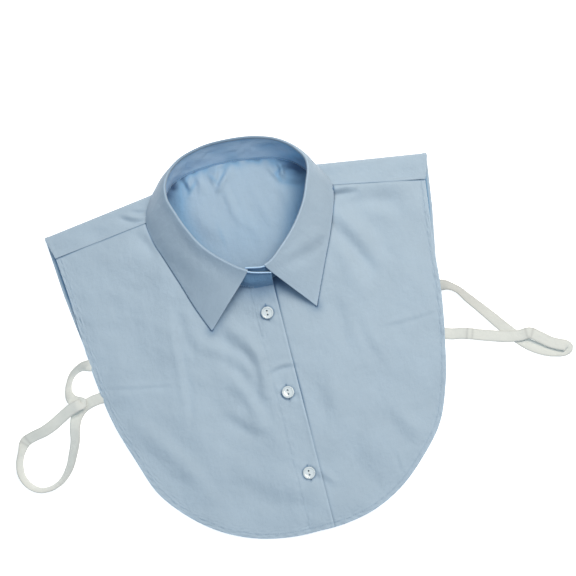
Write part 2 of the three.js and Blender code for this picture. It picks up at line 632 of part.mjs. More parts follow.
// Flat elastic strap from under the front panel's side edge, round its loop, to the back panel's
function elastic(side) {
  const sign = SIGN[side];
  const frontY = -STRAP_ENDS[side].front * BODY_LENGTH;
  const backY = -STRAP_ENDS[side].back * BODY_LENGTH;
  const frontX = sideEdgeX(side, -frontY);
  const backX = sideEdgeX(side, -backY);
  const middle = point((frontX + backX) / 2, (frontY + backY) / 2);
  const between = CLOTH + CLEAR + STRAP_WALL / 2;
  const sewn = (x, y) => [
    { x: x - sign * STRAP_TUCK, y, z: between, lean: 0 },
    { x, y, z: between, lean: 0 },
  ];
  const loop = STRAP_ROUTES[side].map((row) => {
    const lean = THREE.MathUtils.degToRad(row.lean);
    return {
      x: middle.x + sign * row.out * STRAP_REACH,
      y: middle.y - row.down * STRAP_REACH,
      z: row.lift + (STRAP_WIDTH * Math.sin(lean) + STRAP_WALL * Math.cos(lean)) / 2 + STRAP_CLEAR,
      lean: row.lean,
    };
  });
  const rows = [...sewn(frontX, frontY), ...loop, ...sewn(backX, backY).reverse()];
  const route = tableCurve(rows, spaceStride);
  const stepped = (u) => {
    const place = u * (rows.length - 1);
    const row = Math.min(Math.floor(place), rows.length - 2);
    return mix(route.stops[row], route.stops[row + 1], place - row);
  };
  const middleAt = (t) => {
    const at = route.at(t);
    return point(at.x, at.y, at.z);
  };
  const surface = (u, v) => {
    const t = stepped(u);
    const nudge = 0.004;
    const along = middleAt(Math.min(t + nudge, 1)).sub(middleAt(Math.max(t - nudge, 0))).normalize();
    const level = along.clone().cross(UP).normalize();
    const lean = THREE.MathUtils.degToRad(route.at(t).lean);
    const across = level.applyAxisAngle(along, lean);
    return middleAt(t).addScaledVector(across, (v - 0.5) * STRAP_WIDTH);
  };
  return sheetSolid(surface, (rows.length - 1) * STRAP_STEPS_PER_ROW, 1, STRAP_WALL);
}

// Two-hole shirt button with a raised rim, its underside at z = 0
function buttonGeometry() {
  const bottomRadius = BUTTON_RADIUS - 1;
  const profile = [
    [0, 0],
    [bottomRadius, 0],
    [BUTTON_RADIUS, 0.45 * BUTTON_THICKNESS],
    [BUTTON_RADIUS - 0.3, 0.9 * BUTTON_THICKNESS],
    [BUTTON_RADIUS - 0.5 * BUTTON_RIM, BUTTON_THICKNESS],
    [BUTTON_RADIUS - BUTTON_RIM, 0.9 * BUTTON_THICKNESS],
    [BUTTON_RADIUS - 1.6 * BUTTON_RIM, BUTTON_THICKNESS - BUTTON_RECESS],
    [0, BUTTON_THICKNESS - BUTTON_RECESS],
  ].map(([x, y]) => new THREE.Vector2(x, y));
  const disc = new THREE.LatheGeometry(profile, BUTTON_SIDES).rotateX(Math.PI / 2);
  let solid = toManifold(disc);
  for (const end of [-1, 1]) {
    const depth = 4 * BUTTON_THICKNESS;
    const drill = new THREE.CylinderGeometry(THREAD_HOLE_RADIUS, THREAD_HOLE_RADIUS, depth, HOLE_SIDES)
      .rotateX(Math.PI / 2)
      .translate(0, end * THREAD_HOLE_SPACING / 2, 0);
    solid = solid.subtract(toManifold(drill));
  }
  return fromManifold(solid);
}

const materials = {
  cotton: new THREE.MeshStandardMaterial({ color: 0xa9bccd, roughness: 0.85, metalness: 0 }),
  elastic: new THREE.MeshStandardMaterial({ color: 0xe3e6e1, roughness: 0.75, metalness: 0 }),
  button: new THREE.MeshStandardMaterial({ color: 0xe6ebee, roughness: 0.25, metalness: 0 }),
};

const model = new THREE.Group();

function addPiece(name, geometry, material) {
  const mesh = new THREE.Mesh(geometry, material);
  mesh.name = name;
  model.add(mesh);
  return mesh;
}

addPiece('back_panel', backPanel(), materials.cotton);
addPiece('front_panel_left', frontPanel('left'), materials.cotton);
addPiece('front_panel_right', frontPanel('right'), materials.cotton);
addPiece('collar_stand', collarStand(), materials.cotton);
addPiece('collar_leaf', collarLeaf(), materials.cotton);
addPiece('elastic_left', elastic('left'), materials.elastic);
addPiece('elastic_right', elastic('right'), materials.elastic);

// Buttons lie on the left front, square to its slope
for (let i = 0; i < BUTTON_COUNT; i += 1) {
  const x = FIRST_BUTTON.x + BUTTON_PITCH.x * i;
  const y = FIRST_BUTTON.y + BUTTON_PITCH.y * i;
  const reach = 4;
  const slopeX = (frontHeight('left', x + reach, y) - frontHeight('left', x - reach, y)) / (2 * reach);
  const slopeY = (frontHeight('left', x, y + reach) - frontHeight('left', x, y - reach)) / (2 * reach);
  const normal = point(-slopeX, -slopeY, 1).normalize();
  const button = addPiece(`button_${i + 1}`, buttonGeometry(), materials.button);
  button.quaternion.setFromUnitVectors(UP, normal);
  button.position
    .set(x, y, frontHeight('left', x, y))
    .addScaledVector(normal, CLOTH / 2 + CLEAR);
}

// Origin: the middle of the underside
model.updateMatrixWorld(true);
const box = new THREE.Box3().setFromObject(model, true);
const middle = box.getCenter(point(0, 0));
model.position.set(-middle.x, -middle.y, -box.min.z);

export default model;
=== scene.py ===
"""Detachable shirt collar: a false shirt front and back with a collar, lying face up on a floor.

The cloth is worked out in millimetres about the centre front of the neck, as its pattern is drawn,
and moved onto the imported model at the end. X runs along the shoulders, Y from the hem towards the
back of the neck and Z is up. "Left" and "right" are the viewer's.
"""

import math

import bpy
import numpy as np
from mathutils import Matrix, Vector


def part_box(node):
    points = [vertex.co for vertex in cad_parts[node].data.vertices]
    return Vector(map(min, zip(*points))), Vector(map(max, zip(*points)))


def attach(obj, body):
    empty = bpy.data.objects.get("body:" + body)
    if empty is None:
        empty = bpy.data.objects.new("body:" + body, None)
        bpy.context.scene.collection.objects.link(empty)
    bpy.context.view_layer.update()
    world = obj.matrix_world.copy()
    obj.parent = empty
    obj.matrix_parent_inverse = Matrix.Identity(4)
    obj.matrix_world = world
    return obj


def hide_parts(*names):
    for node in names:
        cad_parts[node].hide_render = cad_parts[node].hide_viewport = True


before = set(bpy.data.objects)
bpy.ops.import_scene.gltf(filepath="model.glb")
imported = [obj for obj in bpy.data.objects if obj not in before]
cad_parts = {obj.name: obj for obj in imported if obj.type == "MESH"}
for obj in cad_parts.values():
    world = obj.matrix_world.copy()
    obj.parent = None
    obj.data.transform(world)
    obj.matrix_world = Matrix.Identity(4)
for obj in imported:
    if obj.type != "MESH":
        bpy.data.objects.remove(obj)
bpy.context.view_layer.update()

# Sizes of the body and collar
BODY_HALF_WIDTH = 182.0
BODY_LENGTH = 242.0
NECK_HALF_WIDTH = 68.0
NECK_DEPTH = 125.0
COLLAR_HEIGHT = 36.0
HEM_LAP = 12.0  # how far each front runs past the centre at the hem
SEAM_ALLOWANCE = 2.2  # how far the panels run on past the neck seam
SOLID_CLOTH = 1.1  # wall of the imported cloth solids
CLEAR = 0.35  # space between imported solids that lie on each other

# Heights of the laid cloth
FRONT_REST = 3.6  # middle of the fronts above the table
NECK_LIFT = 6.6  # how much higher they lie at the neck seam
NECK_LIFT_REACH = 38.0
SHOULDER_LIFT_REACH = 45.0
FOLD_FADE = 14.0  # distance from a seam over which folds die out
FOLD_RADIUS_TIP = 3.0  # rolled fold of a shoulder at its tip
FOLD_RADIUS_NECK = 4.9  # and beside the collar
FRONT_LAP = 1.7  # the left front above the right one
LAP_START, LAP_END = -46.0, -13.0  # x over which it climbs there
EDGE_DROOP = 1.0  # how far the fronts sink towards the back panel at the hem
EDGE_DROOP_REACH = 15.0

# Cloth as sewn
CLOTH = 0.45
HEM_CLOTH = 0.95
HEM_WIDTH = 4.6
HEM_STITCH = 3.6
PLACKET_WIDTH = 21.5
PLACKET_CLOTH = 1.0
STAND_CLOTH = 0.85
YOKE_CUT = 48.0  # flat length of the cloth over a shoulder
LEAF_CUT = 44.0  # and across the leaf
LEAF_CLOTH = 0.9
LEAF_ROLL = 1.0  # radius of the fold over the stand
LEAF_INSIDE = 2.4  # how far the leaf reaches down inside the stand
INSIDE_SHARE = 0.12  # share of the leaf's rows that lies inside the stand
LEAF_LIFT = 1.35  # middle of the leaf above the top of the stand
SEAM_TUCK = 3.0  # what the fronts run on under the shoulder seam

# Stitches
STITCH_PITCH = 2.3
STITCH_LENGTH = 1.8
THREAD_RADIUS = 0.17

# Straps
STRAP_WIDTH = 9.5
STRAP_WALL = 1.0
STRAP_REACH = 86.0  # unit of length of the straps' routes
STRAP_TUCK = 8.0  # length sewn under the side edge
STRAP_CLEAR = 0.25  # space under a strap that lies on the table
STRAP_CROWN = 0.18  # how far its edges lie below its middle

# Buttons
BUTTON_RADIUS = 5.7
BUTTON_THICKNESS = 2.4
BUTTON_RECESS = 0.6
HOLE_RADIUS = 0.85
HOLE_SPACING = 3.6
FIRST_BUTTON = (0.4, -38.6)
BUTTON_PITCH = (0.7, -75.7)
BUTTON_COUNT = 3
BUTTONHOLE_LENGTH = 15.0
BUTTONHOLE_WIDTH = 2.6
BUTTONHOLE_STITCHES = 74

SIGN = {"left": -1, "right": 1}
SIDES = ("left", "right")
FRONT_SEEDS = {"left": 11, "right": 12}
UP = np.array([0.0, 0.0, 1.0])

# Ellipse of the fronts' neck seam: half width, half depth, middle and the share that is fully lifted
NECK_ELLIPSE = {"half_width": 1.04, "half_depth": 0.49, "middle": 0.38, "full": 0.95}

# Side edge from the armhole to the hem: y, left, right and how much further out the back reaches
OUTLINE = [
    (0.083, 0.951, 0.93, 0.024),
    (-0.083, 0.937, 0.905, 0.006),
    (-0.248, 0.918, 0.882, -0.012),
    (-0.413, 0.882, 0.841, -0.014),
    (-0.579, 0.813, 0.786, -0.014),
    (-0.723, 0.739, 0.703, -0.014),
    (-0.826, 0.629, 0.582, -0.014),
    (-0.917, 0.478, 0.437, -0.014),
    (-0.975, 0.302, 0.275, -0.014),
    (-0.998, 0.14, 0.12, -0.01),
]
OUTLINE_COLUMN = {"left": 1, "right": 2}
BACK_HEM_INSET = 0.012

# Rolled fold and forward seam of each shoulder, at the tip and beside the collar
SHOULDER = {
    "left": {"tip": 0.333, "neck": 0.399, "seam_tip": 0.241, "seam_neck": 0.301},
    "right": {"tip": 0.304, "neck": 0.364, "seam_tip": 0.198, "seam_neck": 0.275},
}
YOKE_NECK_X = 1.09 * NECK_HALF_WIDTH  # neck end of each rolled shoulder
FRONT_SHOULDER = {"left": 0.974, "right": 0.953}  # armhole end of each shoulder seam
TIP_HALF_WIDTH = {"left": 182.6, "right": 180.6}

# Stations round the collar: fold x, fold y, top, seam x, seam y, seat, leaf x, leaf y, leaf seat.
# A seat of 0 is the back panel or the table, and 1 is the fronts.
COLLAR = [
    (0.176, -0.048, 0.8, 0.176, -0.12, 1, -0.778, -0.333, 1),
    (-0.132, -0.002, 0.83, -0.147, -0.1, 1, -0.778, -0.333, 1),
    (-0.416, 0.11, 0.89, -0.515, 0.032, 1, -0.919, -0.144, 1),
    (-0.635, 0.236, 0.945, -0.757, 0.168, 1, -1.042, 0.062, 1),
    (-0.796, 0.394, 0.985, -0.912, 0.336, 1, -1.175, 0.276, 1),
    (-0.89, 0.528, 1, -0.985, 0.472, 1, -1.264, 0.424, 1),
    (-0.956, 0.656, 0.995, -1.026, 0.584, 1, -1.279, 0.6, 1),
    (-0.94, 0.747, 0.96, -0.993, 0.704, 0.5, -1.154, 0.732, 1),
    (-0.868, 0.834, 0.89, -0.875, 0.792, 0.05, -1, 0.828, 0.45),
    (-0.708, 0.917, 0.82, -0.676, 0.848, 0, -0.721, 0.884, 0),
    (-0.356, 0.983, 0.805, -0.324, 0.876, 0, -0.338, 0.914, 0),
    (0.061, 0.991, 0.805, 0.059, 0.876, 0, 0.059, 0.916, 0),
    (0.426, 0.964, 0.805, 0.382, 0.852, 0, 0.426, 0.888, 0),
    (0.728, 0.898, 0.82, 0.691, 0.808, 0, 0.765, 0.832, 0),
    (0.918, 0.8, 0.89, 0.89, 0.74, 0.05, 1.037, 0.748, 0.45),
    (1.008, 0.702, 0.96, 1.012, 0.648, 0.5, 1.184, 0.644, 1),
    (1.004, 0.633, 0.995, 1.049, 0.532, 1, 1.272, 0.536, 1),
    (0.936, 0.526, 1, 1.037, 0.448, 1, 1.272, 0.44, 1),
    (0.846, 0.408, 0.975, 0.956, 0.328, 1, 1.206, 0.32, 1),
    (0.694, 0.28, 0.93, 0.809, 0.216, 1, 1.088, 0.156, 1),
    (0.426, 0.124, 0.89, 0.544, 0.056, 1, 0.904, -0.064, 1),
    (0.121, 0.009, 0.83, 0.147, -0.076, 1, 0.676, -0.341, 1),
    (-0.14, 0.029, 0.8, -0.147, -0.068, 1, 0.676, -0.341, 1),
]
FOLD_X, FOLD_Y, FOLD_Z, SEAM_X, SEAM_Y, SEAT, LEAF_X, LEAF_Y, LEAF_SEAT = range(9)
SHOULDER_STATION = 6

# Folds, creases and dents in millimetres: x, y of the middle, direction in degrees from the centre
# front line, length, width and rise
MAIN_FOLDS = [
    (87.4, -21.8, 4, 78, 12, 2.4),
    (116.5, 31.5, 66, 42, 9, 1.8),
    (-29.1, -87.1, 14, 48, 8, 1.6),
    (-54.6, -72.6, 34, 52, 10, 1.7),
    (-91.0, -29.0, -12, 70, 13, 2.2),
    (-142.0, -79.9, 84, 36, 9, 1.2),
    (40.0, -133.1, 6, 60, 12, 1.5),
]
FRONT_CREASES = [
    (-150, -73, 82, 40, 1.6, -0.3),
    (134, -75, 96, 40, 1.6, 0.35),
    (-3, -30, 60, 12, 1.6, 0.5),
    (7, -28, -50, 12, 1.6, 0.5),
]
BACK_CREASES = [
    (-52, 101, -30, 15, 2.0, 2),
    (-40, 99, -12, 18, 2.4, 2.4),
    (-29, 97, 6, 20, 2.8, 1.6),
    (-15, 99, -14, 18, 3.0, 1.8),
    (-2, 101, -16, 14, 2.4, 1.0),
    (36, 94, 14, 14, 2.2, 1.6),
    (47, 86, 62, 12, 2.0, 1.6),
    (58, 88, 82, 20, 2.2, 2.4),
    (-8, 62, 6, 70, 5.0, 1.6),
    (6, 58, 10, 70, 5.0, 1.4),
    (30, 50, 8, 60, 8.0, -1.2),
]
LEAF_DENTS = [
    (-74, 36, 32, 44, 6.0, -0.4),
    (-60, 8, 40, 44, 6.0, -0.3),
    (80, 22, 70, 30, 4.0, -0.65),
    (84, 60, 10, 40, 6.0, -0.65),
    (62, 2, 50, 36, 5.0, 0.52),
]

# Steps in the cloth, each along a curve from upper left to lower right: its points, its width and
# how far the cloth rises on the far side of the curve above the near side
FRONT_STEPS = [
    ([(-47, -40), (-35, -57), (-26, -70), (-20, -84)], 7.5, 2.9),
    ([(-30, -60), (-22, -76), (-20, -92), (-23, -116)], 4.8, 2.2),
    ([(-74, -54), (-59, -62), (-48, -69), (-35, -80), (-27, -96)], 6.5, 2.2),
    ([(-44, -82), (-37, -96), (-31, -114), (-21, -140)], 5.0, -1.7),
    ([(-62, -116), (-45, -133), (-35, -141), (-18, -148)], 5.0, 1.3),
    ([(-84, -11), (-87, -44), (-88, -73), (-90, -99), (-96, -132)], 3.2, -0.85),
    ([(-76, -14), (-75, -38), (-71, -60)], 4.5, 1.0),
    ([(-165, -70), (-134, -76), (-98, -82)], 1.9, 0.55),
    ([(-150, -106), (-127, -138), (-111, -161), (-94, -190)], 11.0, 1.5),
    ([(-138, -100), (-115, -132), (-99, -157), (-82, -196)], 7.0, -1.3),
    ([(-14, -93), (-2, -90), (17, -91)], 2.4, 1.3),
    ([(62, 58), (84, 57), (112, 54)], 3.0, 2.4),
    ([(84, 54), (116, 47), (160, 42)], 8.0, 1.7),
    ([(68, 48), (87, 24), (99, -2), (112, -26)], 6.5, 2.1),
    ([(92, 44), (106, 22), (120, -8)], 9.0, -1.2),
    ([(80, 20), (94, -10), (96, -40)], 7.0, -0.8),
    ([(66, -34), (69, -62), (74, -96)], 6.5, 1.0),
    ([(82, -58), (86, -84), (91, -106)], 4.6, 0.7),
    ([(98, -76), (125, -75), (153, -73)], 2.2, 0.75),
    ([(87, -148), (95, -169), (104, -190)], 7.0, 1.3),
    ([(47, -162), (60, -194), (71, -224)], 10.0, 1.5),
    ([(83, -188), (84, -198), (85, -211)], 1.8, 0.4),
    ([(3, -182), (13, -195), (23, -208)], 3.4, 1.1),
    ([(-98, 68), (-90, 53), (-83, 36)], 5.0, 1.5),
    ([(-70, -172), (-30, -200), (10, -218)], 11.0, 1.9),
    ([(-150, 20), (-120, -10), (-112, -50)], 12.0, 0.6),
    ([(120, 58), (140, 44), (150, 10)], 9.0, 1.2),
    ([(28, -96), (36, -120), (36, -150)], 8.0, 0.9),
]
LEAF_STEPS = [
    ([(18, 0), (45, 7), (76, 21)], 5.0, 1.4),
    ([(-78, 62), (-70, 41), (-57, 25), (-34, 6)], 6.0, -0.5),
]
YOKE_STEPS = [
    ([(-116, 90), (-102, 77), (-87, 72)], 3.0, 1.7),
    ([(-106, 91), (-96, 84), (-84, 82)], 2.4, 1.2),
]
# Gathers of the back: place along the neck, slant in degrees, length, width and rise
GATHERS = [
    (-0.78, -24, 17, 4.5, 1.5),
    (-0.22, 6, 30, 5.5, 1.4),
    (0.62, 14, 20, 5.0, 1.5),
]

BACK_STEPS = [
    ([(-60, 101), (-56, 98), (-52, 97)], 1.5, 1.4),
    ([(-49, 108), (-45, 100), (-42, 90)], 2.2, 2.8),
    ([(-37, 104), (-34, 97), (-36, 88)], 2.4, 2.2),
    ([(-4, 105), (-11, 95), (-21, 84)], 2.4, 3.0),
    ([(-24, 103), (-21, 95), (-21, 85)], 2.4, 2.2),
    ([(43, 99), (44, 91), (42, 83)], 2.0, 3.8),
    ([(36, 91), (38, 85), (42, 79)], 1.8, 3.0),
    ([(46, 92), (57, 90), (70, 87)], 2.4, 3.8),
    ([(44, 80), (56, 77), (68, 75)], 3.5, 1.6),
    ([(-14, 88), (-8, 60), (2, 34)], 4.5, 1.2),
    ([(8, 84), (16, 58), (24, 36)], 4.5, 1.0),
    ([(36, 78), (42, 56), (44, 34)], 6.0, 1.0),
    ([(-48, 74), (-36, 50), (-20, 34)], 6.0, 1.0),
]

# Shade lines beside the gathers under the back neck seam: x, y, turn, length, width, strength
BACK_SHADES = [
    (57, 91, 72, 22, 2.2, 0.42),
    (43.5, 90.7, -62, 10, 1.8, 0.36),
    (41.5, 84, 26, 10, 1.7, 0.36),
    (54, 76.5, 74, 20, 2.4, 0.2),
    (-44.2, 97.3, 8, 10, 1.7, 0.42),
    (-39, 94.5, -43, 17, 1.8, 0.3),
    (-18.2, 97.7, 30, 12, 1.7, 0.3),
    (-9.5, 98, -41, 14, 1.7, 0.3),
    (-23.3, 43, 8, 20, 1.6, 0.12),
]

# Routes of the straps from the front's edge to the back's: out, down, lift and lean in degrees
STRAP_ROUTES = {
    "left": [
        (0.117, 0.202, 1, 0),
        (0.211, 0.240, 0, 0),
        (0.282, 0.307, 0, 0),
        (0.330, 0.417, 0, 15),
        (0.356, 0.553, 0, 28),
        (0.407, 0.683, 0, 34),
        (0.483, 0.832, 0, 42),
        (0.589, 0.942, 0, 54),
        (0.718, 0.991, 0, 60),
        (0.837, 0.977, 0, 60),
        (0.937, 0.893, 0, 58),
        (0.983, 0.779, 0, 58),
        (0.976, 0.661, 0, 60),
        (0.928, 0.543, 0.2, 60),
        (0.869, 0.447, 0.8, 30),
        (0.777, 0.412, 0.8, 30),
        (0.663, 0.388, 0.8, 25),
        (0.554, 0.346, 1.8, 12),
        (0.440, 0.285, 3.6, 0),
        (0.327, 0.232, 5.6, 0),
        (0.238, 0.206, 6.6, 0),
        (0.197, 0.192, 4.6, 0),
        (0.231, 0.172, 2.4, 0),
        (0.287, 0.138, 1.9, 10),
        (0.306, 0.059, 1.6, 52),
        (0.283, -0.039, 0.2, 68),
        (0.233, -0.121, 0, 68),
        (0.152, -0.175, 0, 60),
        (0.086, -0.190, 0.3, 40),
    ],
    "right": [
        (0.035, 0.284, 0.6, 0),
        (0.139, 0.305, 1.6, 0),
        (0.224, 0.333, 3, 0),
        (0.311, 0.364, 2, 0),
        (0.444, 0.408, 1.6, 0),
        (0.597, 0.455, 1.6, 0),
        (0.734, 0.477, 2.2, 0),
        (0.841, 0.480, 4.2, 0),
        (0.925, 0.542, 3.6, 0),
        (1.044, 0.636, 3, 0),
        (1.130, 0.680, 3.2, 0),
        (1.175, 0.700, 2.8, 0),
        (1.197, 0.725, 1.4, 0),
        (1.160, 0.742, 0.2, 0),
        (1.067, 0.732, 0, 6),
        (0.936, 0.684, 0, 6),
        (0.806, 0.593, 0, 0),
        (0.702, 0.485, 0, 0),
        (0.603, 0.360, 0, 0),
        (0.498, 0.216, 0, 12),
        (0.392, 0.072, 0, 24),
        (0.293, -0.058, 0, 32),
        (0.215, -0.165, 0, 42),
        (0.137, -0.225, 0.3, 35),
    ],
}
STRAP_ENDS = {
    "left": {"front": 0.32, "back": 0.19},
    "right": {"front": 0.395, "back": 0.21},
}
STRAP_END_SHADE = {"left": 0.0, "right": 0.45}  # painted shade: how much darker the back end is
STRAP_KINKS = {"left": [0.575, 0.59], "right": [0.107, 0.125, 0.31, 0.33]}  # shares of the route where painted shade marks a kink


# Small functions on numbers and arrays


def mix(a, b, share):
    return a + (b - a) * share


def bell(distance, width):
    return np.exp(-((distance / width) ** 2))


def smooth_step(value, low, high):
    share = np.clip((value - low) / (high - low), 0, 1)
    return share * share * (3 - 2 * share)


def unit(vectors):
    return vectors / np.linalg.norm(vectors, axis=-1, keepdims=True)


def stack(x, y, z):
    return np.stack(np.broadcast_arrays(x, y, z), axis=-1).astype(float)


def button_place(i):
    return FIRST_BUTTON[0] + BUTTON_PITCH[0] * i, FIRST_BUTTON[1] + BUTTON_PITCH[1] * i


def upward_normal(height, x, y, reach):
    """Normal of a height field at x, y, from its slopes over the given reach."""
    slope_x = (height(x + reach, y) - height(x - reach, y)) / (2 * reach)
    slope_y = (height(x, y + reach) - height(x, y - reach)) / (2 * reach)
    return unit(stack(-slope_x, -slope_y, np.ones_like(slope_x)))


def sewn_wall(distance, width, thick):
    """Wall at a distance from an edge: thick over the given width, and one cloth past it."""
    return mix(CLOTH, thick, 1 - smooth_step(distance, width - 0.5, width + 0.5))


class TableCurve:
    """Smooth curve through the rows of a table: one cubic between rows, by distance travelled."""

    def __init__(self, rows, travel_columns):
        self.rows = np.array(rows, float)
        travel = np.diff(self.rows[:, travel_columns], axis=0)
        steps = np.linalg.norm(travel, axis=1)
        self.length = steps.sum()
        self.stops = np.concatenate([[0], np.cumsum(steps)]) / self.length
        spans = np.diff(self.stops)[:, None]
        slopes = np.diff(self.rows, axis=0) / spans
        inner = (slopes[:-1] * spans[1:] + slopes[1:] * spans[:-1]) / (spans[:-1] + spans[1:])
        self.tangents = np.concatenate([slopes[:1], inner, slopes[-1:]])

    def __call__(self, t):
        t = np.asarray(t, float)
        i = np.clip(np.searchsorted(self.stops, t) - 1, 0, len(self.rows) - 2)
        span = self.stops[i + 1] - self.stops[i]
        s = ((t - self.stops[i]) / span)[..., None]
        rise = self.rows[i + 1] - self.rows[i]
        start = self.tangents[i] * span[..., None]
        end = self.tangents[i + 1] * span[..., None]
        bend = 3 * rise - 2 * start - end
        return self.rows[i] + s * (start + s * (bend + s * (start + end - 2 * rise)))


def ripples(seed, wavelength, count=28):
    """Seeded smooth field over the plan, of about unit height."""
    draw = np.random.default_rng(seed)
    turns = draw.uniform(0, 2 * math.pi, count)
    waves = 2 * math.pi / (wavelength * draw.uniform(0.7, 1.5, count))
    phases = draw.uniform(0, 2 * math.pi, count)

    def field(x, y):
        total = 0
        for turn, wave, phase in zip(turns, waves, phases):
            total = total + np.sin(wave * (x * math.cos(turn) + y * math.sin(turn)) + phase)
        return total / math.sqrt(count / 2)

    return field


def folds(table, x, y):
    """Height that a table of folds adds at x, y."""
    total = 0
    for fold_x, fold_y, turn, length, width, rise in table:
        angle = math.radians(turn)
        dx, dy = x - fold_x, y - fold_y
        along = dx * math.sin(angle) - dy * math.cos(angle)
        across = dx * math.cos(angle) + dy * math.sin(angle)
        total = total + rise * bell(along, length / 2) * bell(across, width)
    return total


def plan_distance(x, y, line):
    """Distance in the plan from each x, y to a polyline, and how far along the line that is."""
    shape = np.shape(x)
    p = np.stack([np.ravel(x), np.ravel(y)], axis=1)
    a, b = line[:-1], line[1:]
    leg = b - a
    leg_length = np.linalg.norm(leg, axis=1)
    travelled = np.concatenate([[0], np.cumsum(leg_length)])[:-1]
    best = np.full(len(p), np.inf)
    place = np.zeros(len(p))
    for k in range(len(leg)):
        share = np.clip((p - a[k]) @ leg[k] / leg_length[k] ** 2, 0, 1)
        distance = np.linalg.norm(p - (a[k] + share[:, None] * leg[k]), axis=1)
        nearer = distance < best
        best = np.where(nearer, distance, best)
        place = np.where(nearer, travelled[k] + share * leg_length[k], place)
    return best.reshape(shape), place.reshape(shape)


def steps(table, x, y):
    """Height that a table of steps adds at x, y."""
    x, y = np.broadcast_arrays(np.asarray(x, float), np.asarray(y, float))
    total = np.zeros(x.shape)
    for points, width, rise in table:
        line = TableCurve(points, [0, 1])(np.linspace(0, 1, 14))
        low, high = line.min(0) - 4 * width, line.max(0) + 4 * width
        near = (x > low[0]) & (x < high[0]) & (y > low[1]) & (y < high[1])
        if not near.any():
            continue
        px, py = x[near], y[near]
        distance, place = plan_distance(px, py, line)
        length = np.linalg.norm(np.diff(line, axis=0), axis=1).sum()
        k = np.clip((place / length * 13).astype(int), 0, 12)
        leg = line[k + 1] - line[k]
        far = np.sign(leg[:, 0] * (py - line[k, 1]) - leg[:, 1] * (px - line[k, 0]))
        across = far * distance / width
        fade = np.sin(math.pi * np.clip(place / length, 0, 1)) ** 0.7
        total[near] += rise * across * np.exp(0.5 - 0.5 * across**2) * fade
    return total


# Shoulders and fronts


def shoulder_share(x):
    """How far out x lies, from the collar, 0, to the shoulder tip, 1."""
    return (np.abs(x) - YOKE_NECK_X) / (BODY_HALF_WIDTH - YOKE_NECK_X)


def fold_line_y(side, x):
    return BODY_LENGTH * mix(SHOULDER[side]["neck"], SHOULDER[side]["tip"], shoulder_share(x))


def seam_line_y(side, x):
    line = SHOULDER[side]
    return BODY_LENGTH * mix(line["seam_neck"], line["seam_tip"], shoulder_share(x))


def fold_radius(x):
    return mix(FOLD_RADIUS_NECK, FOLD_RADIUS_TIP, shoulder_share(x))


def roll_start_y(side, x):
    """y at which the back panel leaves the table to roll over the shoulder."""
    return fold_line_y(side, x) - fold_radius(x) - SOLID_CLOTH / 2


neck_size = [NECK_HALF_WIDTH, NECK_DEPTH]
collar_scale = [*neck_size, COLLAR_HEIGHT, *neck_size, 1, *neck_size, 1]
collar = TableCurve(np.array(COLLAR) * collar_scale, [FOLD_X, FOLD_Y])
neck_middle = np.array([0.0, 0.4 * NECK_DEPTH])
leaf_line = collar(np.linspace(collar.stops[1], collar.stops[-2], 300))[:, [LEAF_X, LEAF_Y]]


def outline_rows(side, back=False):
    """Side edge of a front, or of the back, from the armhole to the hem."""
    column = OUTLINE_COLUMN[side]
    inset = BACK_HEM_INSET if back else 0
    rows = []
    for row in OUTLINE:
        share = row[column] + (row[3] if back else 0)
        rows.append((SIGN[side] * BODY_HALF_WIDTH * share, BODY_LENGTH * (row[0] + inset)))
    return rows


def plan_edges(side):
    """Neck edge from the centre to the shoulder, and hem and side edge from the centre up to it."""
    last = len(collar.stops) - 1
    start, end = (0, SHOULDER_STATION) if side == "left" else (last, last - SHOULDER_STATION)
    start, end = collar.stops[start], collar.stops[end]

    def bare_neck(u):
        at = collar(mix(start, end, u))[..., [SEAM_X, SEAM_Y]]
        return at + SEAM_ALLOWANCE * unit(neck_middle - at)

    corner = bare_neck(np.array(1.0))
    shift = seam_line_y(side, corner[0]) - CLEAR + SEAM_TUCK - corner[1]

    def neck(u):
        at = bare_neck(u)
        at[..., 1] += shift * np.asarray(u) ** 4
        return at

    tip_x = SIGN[side] * BODY_HALF_WIDTH * FRONT_SHOULDER[side]
    tip = (tip_x, seam_line_y(side, tip_x) - CLEAR + SEAM_TUCK)
    hem_start = (-SIGN[side] * HEM_LAP, -BODY_LENGTH)
    outer = TableCurve([hem_start, *outline_rows(side)[::-1], tip], [0, 1])
    return neck, outer


